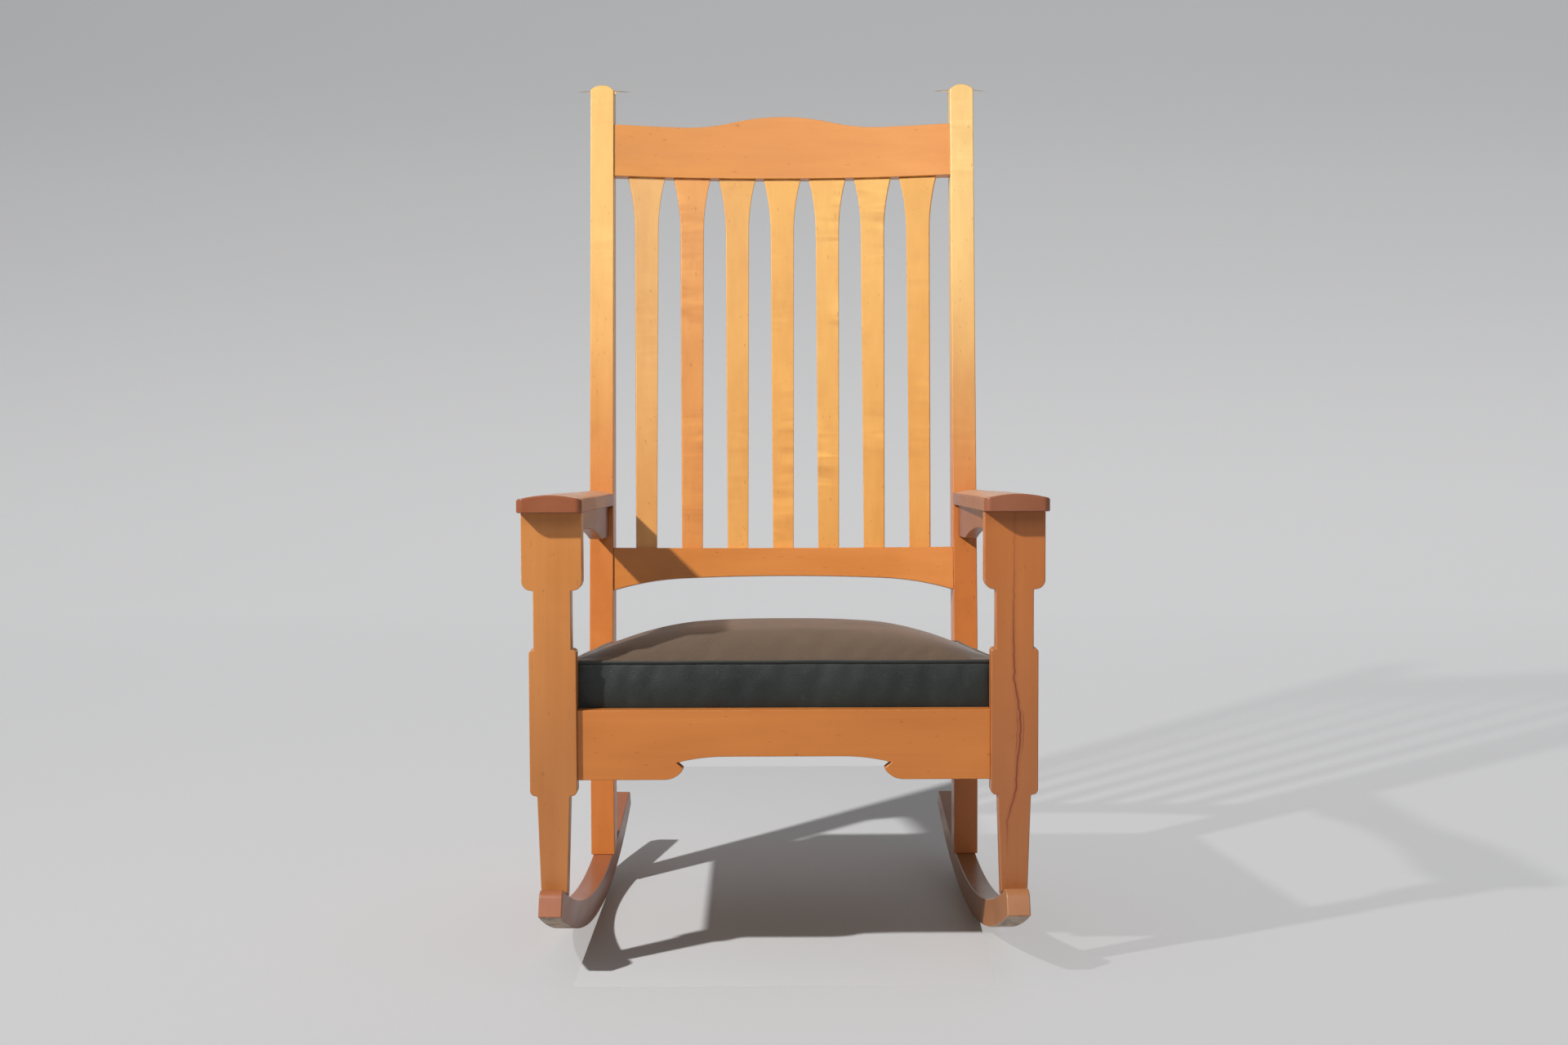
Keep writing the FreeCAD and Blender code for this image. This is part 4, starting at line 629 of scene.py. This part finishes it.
def leather(name):
    """Dark green-black hide with a fine pebble, scuffed on its edges."""
    g = Graph(name)
    point = g.point()
    pebble = g.cells(point, 620)
    small = g.noise(point, 1500, detail=2.0)
    creases = g.cells(g.scaled(point, (210, 130, 210)), 1.0, "DISTANCE_TO_EDGE")
    clouds = g.noise(point, 9, detail=3.0)
    scuffs = g.ramp(g.noise(g.scaled(point, (55, 55, 90)), detail=5.0, rough=0.7), 0.60, 0.74)
    base = g.mix(g.ramp(clouds, 0.3, 0.7), srgb(20, 25, 24), srgb(26, 33, 31))
    # Painted reflection: faces turned upward are tinted brown, as if the wooden back showed in the hide.
    base = g.mix(g.ramp(g.parts(g.facing())[2], 0.55, 0.98, 0.0, 0.85), base, srgb(100, 82, 67))
    # Painted light: the pebbles are lighter on their raised middles and darker in the dips between them.
    base = g.mix(g.ramp(pebble, 0.25, 0.75, 0.25, 0.0), base, srgb(40, 50, 47))
    base = g.mix(g.math("MULTIPLY", scuffs, 0.16), base, srgb(96, 100, 92))
    height = g.math("ADD", g.math("MULTIPLY", pebble, -1.0), g.math("MULTIPLY", small, 0.25))
    relief = g.bump(g.ramp(creases, 0.0, 0.12), 0.00012, 0.35, g.bump(height, 0.00035, 0.55))
    rough = g.ramp(clouds, 0.3, 0.7, 0.40, 0.50)
    return g.finish(Base_Color=base, Roughness=rough, Normal=relief, Sheen_Weight=0.15, Sheen_Roughness=0.4)


LEATHER = leather("hide")


def put(name, mesh, material):
    piece = bpy.data.objects.new(name, mesh)
    scene.collection.objects.link(piece)
    for face in mesh.polygons:
        face.use_smooth = True
    mesh.materials.append(material)
    return piece


cover_data, held_points = cover_mesh()
cover = put("seat_cover", cover_data, LEATHER)
swollen(cover, held_points, STUFFING_PRESSURE, SETTLING_FRAMES, MOST_SWELL)
cover_data.transform(SEAT_FRAME)
# The face that closed the cover for its swelling comes out: the hide is tacked round the frame, open below
floor_face = max(cover_data.polygons, key=lambda face: len(face.vertices)).index
trimmed = bmesh.new()
trimmed.from_mesh(cover_data)
trimmed.faces.ensure_lookup_table()
bmesh.ops.delete(trimmed, geom=[trimmed.faces[floor_face]], context="FACES_ONLY")
trimmed.to_mesh(cover_data)
trimmed.free()
finer = cover.modifiers.new("finer", "SUBSURF")
finer.levels = finer.render_levels = 1
skin = cover.modifiers.new("skin", "SOLIDIFY")
skin.thickness = LEATHER_THICK
skin.offset = -1
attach(cover, "seat")
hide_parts("leather_cover", "seat_filling")


def tube(name, path, radius, sides, material):
    """A closed round cord along a ring of points, lightly wrinkled."""
    mesh = bmesh.new()
    rings = []
    for k, here in enumerate(path):
        ahead = (path[(k + 1) % len(path)] - path[k - 1]).normalized()
        outward = ahead.cross(Vector((0, 0, 1))).normalized()
        upward = outward.cross(ahead)
        ring = []
        for s in range(sides):
            angle = 2 * math.pi * s / sides
            wrinkle = 1 + 0.05 * noise.noise(here * 160 + Vector((math.cos(angle), math.sin(angle), 0)) * 0.8)
            around = outward * math.cos(angle) + upward * math.sin(angle)
            ring.append(mesh.verts.new(here + around * radius * wrinkle))
        rings.append(ring)
    for k in range(len(path)):
        after = (k + 1) % len(path)
        for s in range(sides):
            t = (s + 1) % sides
            mesh.faces.new((rings[k][s], rings[k][t], rings[after][t], rings[after][s]))
    bmesh.ops.recalc_face_normals(mesh, faces=mesh.faces)
    made = bpy.data.meshes.new(name)
    mesh.to_mesh(made)
    mesh.free()
    return put(name, made, material)


RIM_STEPS = 240


def seam_path(steps):
    """The seam's ring, evenly divided, in the seat's frame."""
    rim = [seat_point(k / RIM_STEPS, 0) for k in range(RIM_STEPS)]
    rim += [seat_point(1, k / RIM_STEPS) for k in range(RIM_STEPS)]
    rim += [seat_point(1 - k / RIM_STEPS, 1) for k in range(RIM_STEPS)]
    rim += [seat_point(0, 1 - k / RIM_STEPS) for k in range(RIM_STEPS)]
    lengths = [0.0]
    for k in range(len(rim)):
        lengths.append(lengths[-1] + (rim[(k + 1) % len(rim)] - rim[k]).length)
    path, k = [], 0
    for step in range(steps):
        wanted = lengths[-1] * step / steps
        while lengths[k + 1] < wanted:
            k += 1
        share = (wanted - lengths[k]) / (lengths[k + 1] - lengths[k])
        point = rim[k].lerp(rim[(k + 1) % len(rim)], share)
        point.z = WELT_HEIGHT + seam_drift(point)
        path.append(point)
    return path


welt = tube("seat_piping", [SEAT_FRAME @ p for p in seam_path(680)], WELT_RADIUS, 12, LEATHER)
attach(welt, "seat")
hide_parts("welt")

# The webbing under the frame: straps of coarse jute, the upper ones laid across the lower ones

STRAP_STEPS, STRAP_ROWS, STRAP_SAG = 48, 6, 0.0015
THREADS = 3400


def islands(mesh):
    """The points of each separate solid of a mesh."""
    shape = bmesh.new()
    shape.from_mesh(mesh)
    bmesh.ops.remove_doubles(shape, verts=shape.verts, dist=1e-6)
    left, found = set(shape.verts), []
    while left:
        start = min(left, key=lambda v: v.index)
        group, edge = {start}, [start]
        while edge:
            for link in edge.pop().link_edges:
                for vertex in link.verts:
                    if vertex not in group:
                        group.add(vertex)
                        edge.append(vertex)
        left -= group
        found.append([v.co.copy() for v in group])
    shape.free()
    return found


def jute(name):
    g = Graph(name)
    point = g.point()
    x, y, _ = g.parts(point)
    warp = g.math("SINE", g.math("MULTIPLY", x, THREADS))
    weft = g.math("SINE", g.math("MULTIPLY", y, THREADS))
    weave = g.math("MULTIPLY", warp, weft)
    soil = g.noise(g.scaled(point, (30, 30, 30)), detail=3.0)
    base = g.mix(g.ramp(soil, 0.3, 0.7), srgb(186, 158, 112), srgb(150, 122, 82))
    # Painted shade: the jute is darker where the weave's relief sinks.
    base = g.mix(g.ramp(weave, -0.4, 0.6, 0.35, 0.0), base, srgb(96, 74, 46))
    return g.finish(Base_Color=base, Roughness=0.9, Normal=g.bump(weave, 0.0003, 0.7))


def strap(name, corners, material):
    """One strap as a closed band that sags a little between its tacked ends, in the seat's frame."""
    low = Vector(min(c[k] for c in corners) for k in range(3))
    high = Vector(max(c[k] for c in corners) for k in range(3))
    lengthwise = 0 if high.x - low.x > high.y - low.y else 1
    shape = bmesh.new()
    rings = []
    for step in range(STRAP_STEPS + 1):
        share = step / STRAP_STEPS
        sag = STRAP_SAG * math.sin(math.pi * share) ** 2
        ring = []
        for height, order in ((high.z, 1), (low.z, -1)):
            for row in range(STRAP_ROWS + 1)[::order]:
                point = Vector((0, 0, height - sag * (1 - (2 * row / STRAP_ROWS - 1) ** 2)))
                point[lengthwise] = low[lengthwise] + (high[lengthwise] - low[lengthwise]) * share
                across = 1 - lengthwise
                point[across] = low[across] + (high[across] - low[across]) * row / STRAP_ROWS
                ring.append(shape.verts.new(SEAT_FRAME @ point))
        rings.append(ring)
    for before, after in zip(rings, rings[1:]):
        for k in range(len(before)):
            following = (k + 1) % len(before)
            shape.faces.new((before[k], before[following], after[following], after[k]))
    shape.faces.new(rings[0])
    shape.faces.new(list(reversed(rings[-1])))
    bmesh.ops.recalc_face_normals(shape, faces=shape.faces)
    mesh = bpy.data.meshes.new(name)
    shape.to_mesh(mesh)
    shape.free()
    piece = put(name, mesh, material)
    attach(piece, "seat")
    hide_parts("seat_webbing")


JUTE = jute("jute")
found = [[TO_SEAT @ corner for corner in group] for group in islands(NODES["seat_webbing"].data)]
found.sort(key=lambda group: tuple(round(min(c[k] for c in group), 4) for k in (2, 0, 1)))
for number, corners in enumerate(found, 1):
    strap(f"seat_strap_{number}", corners, JUTE)
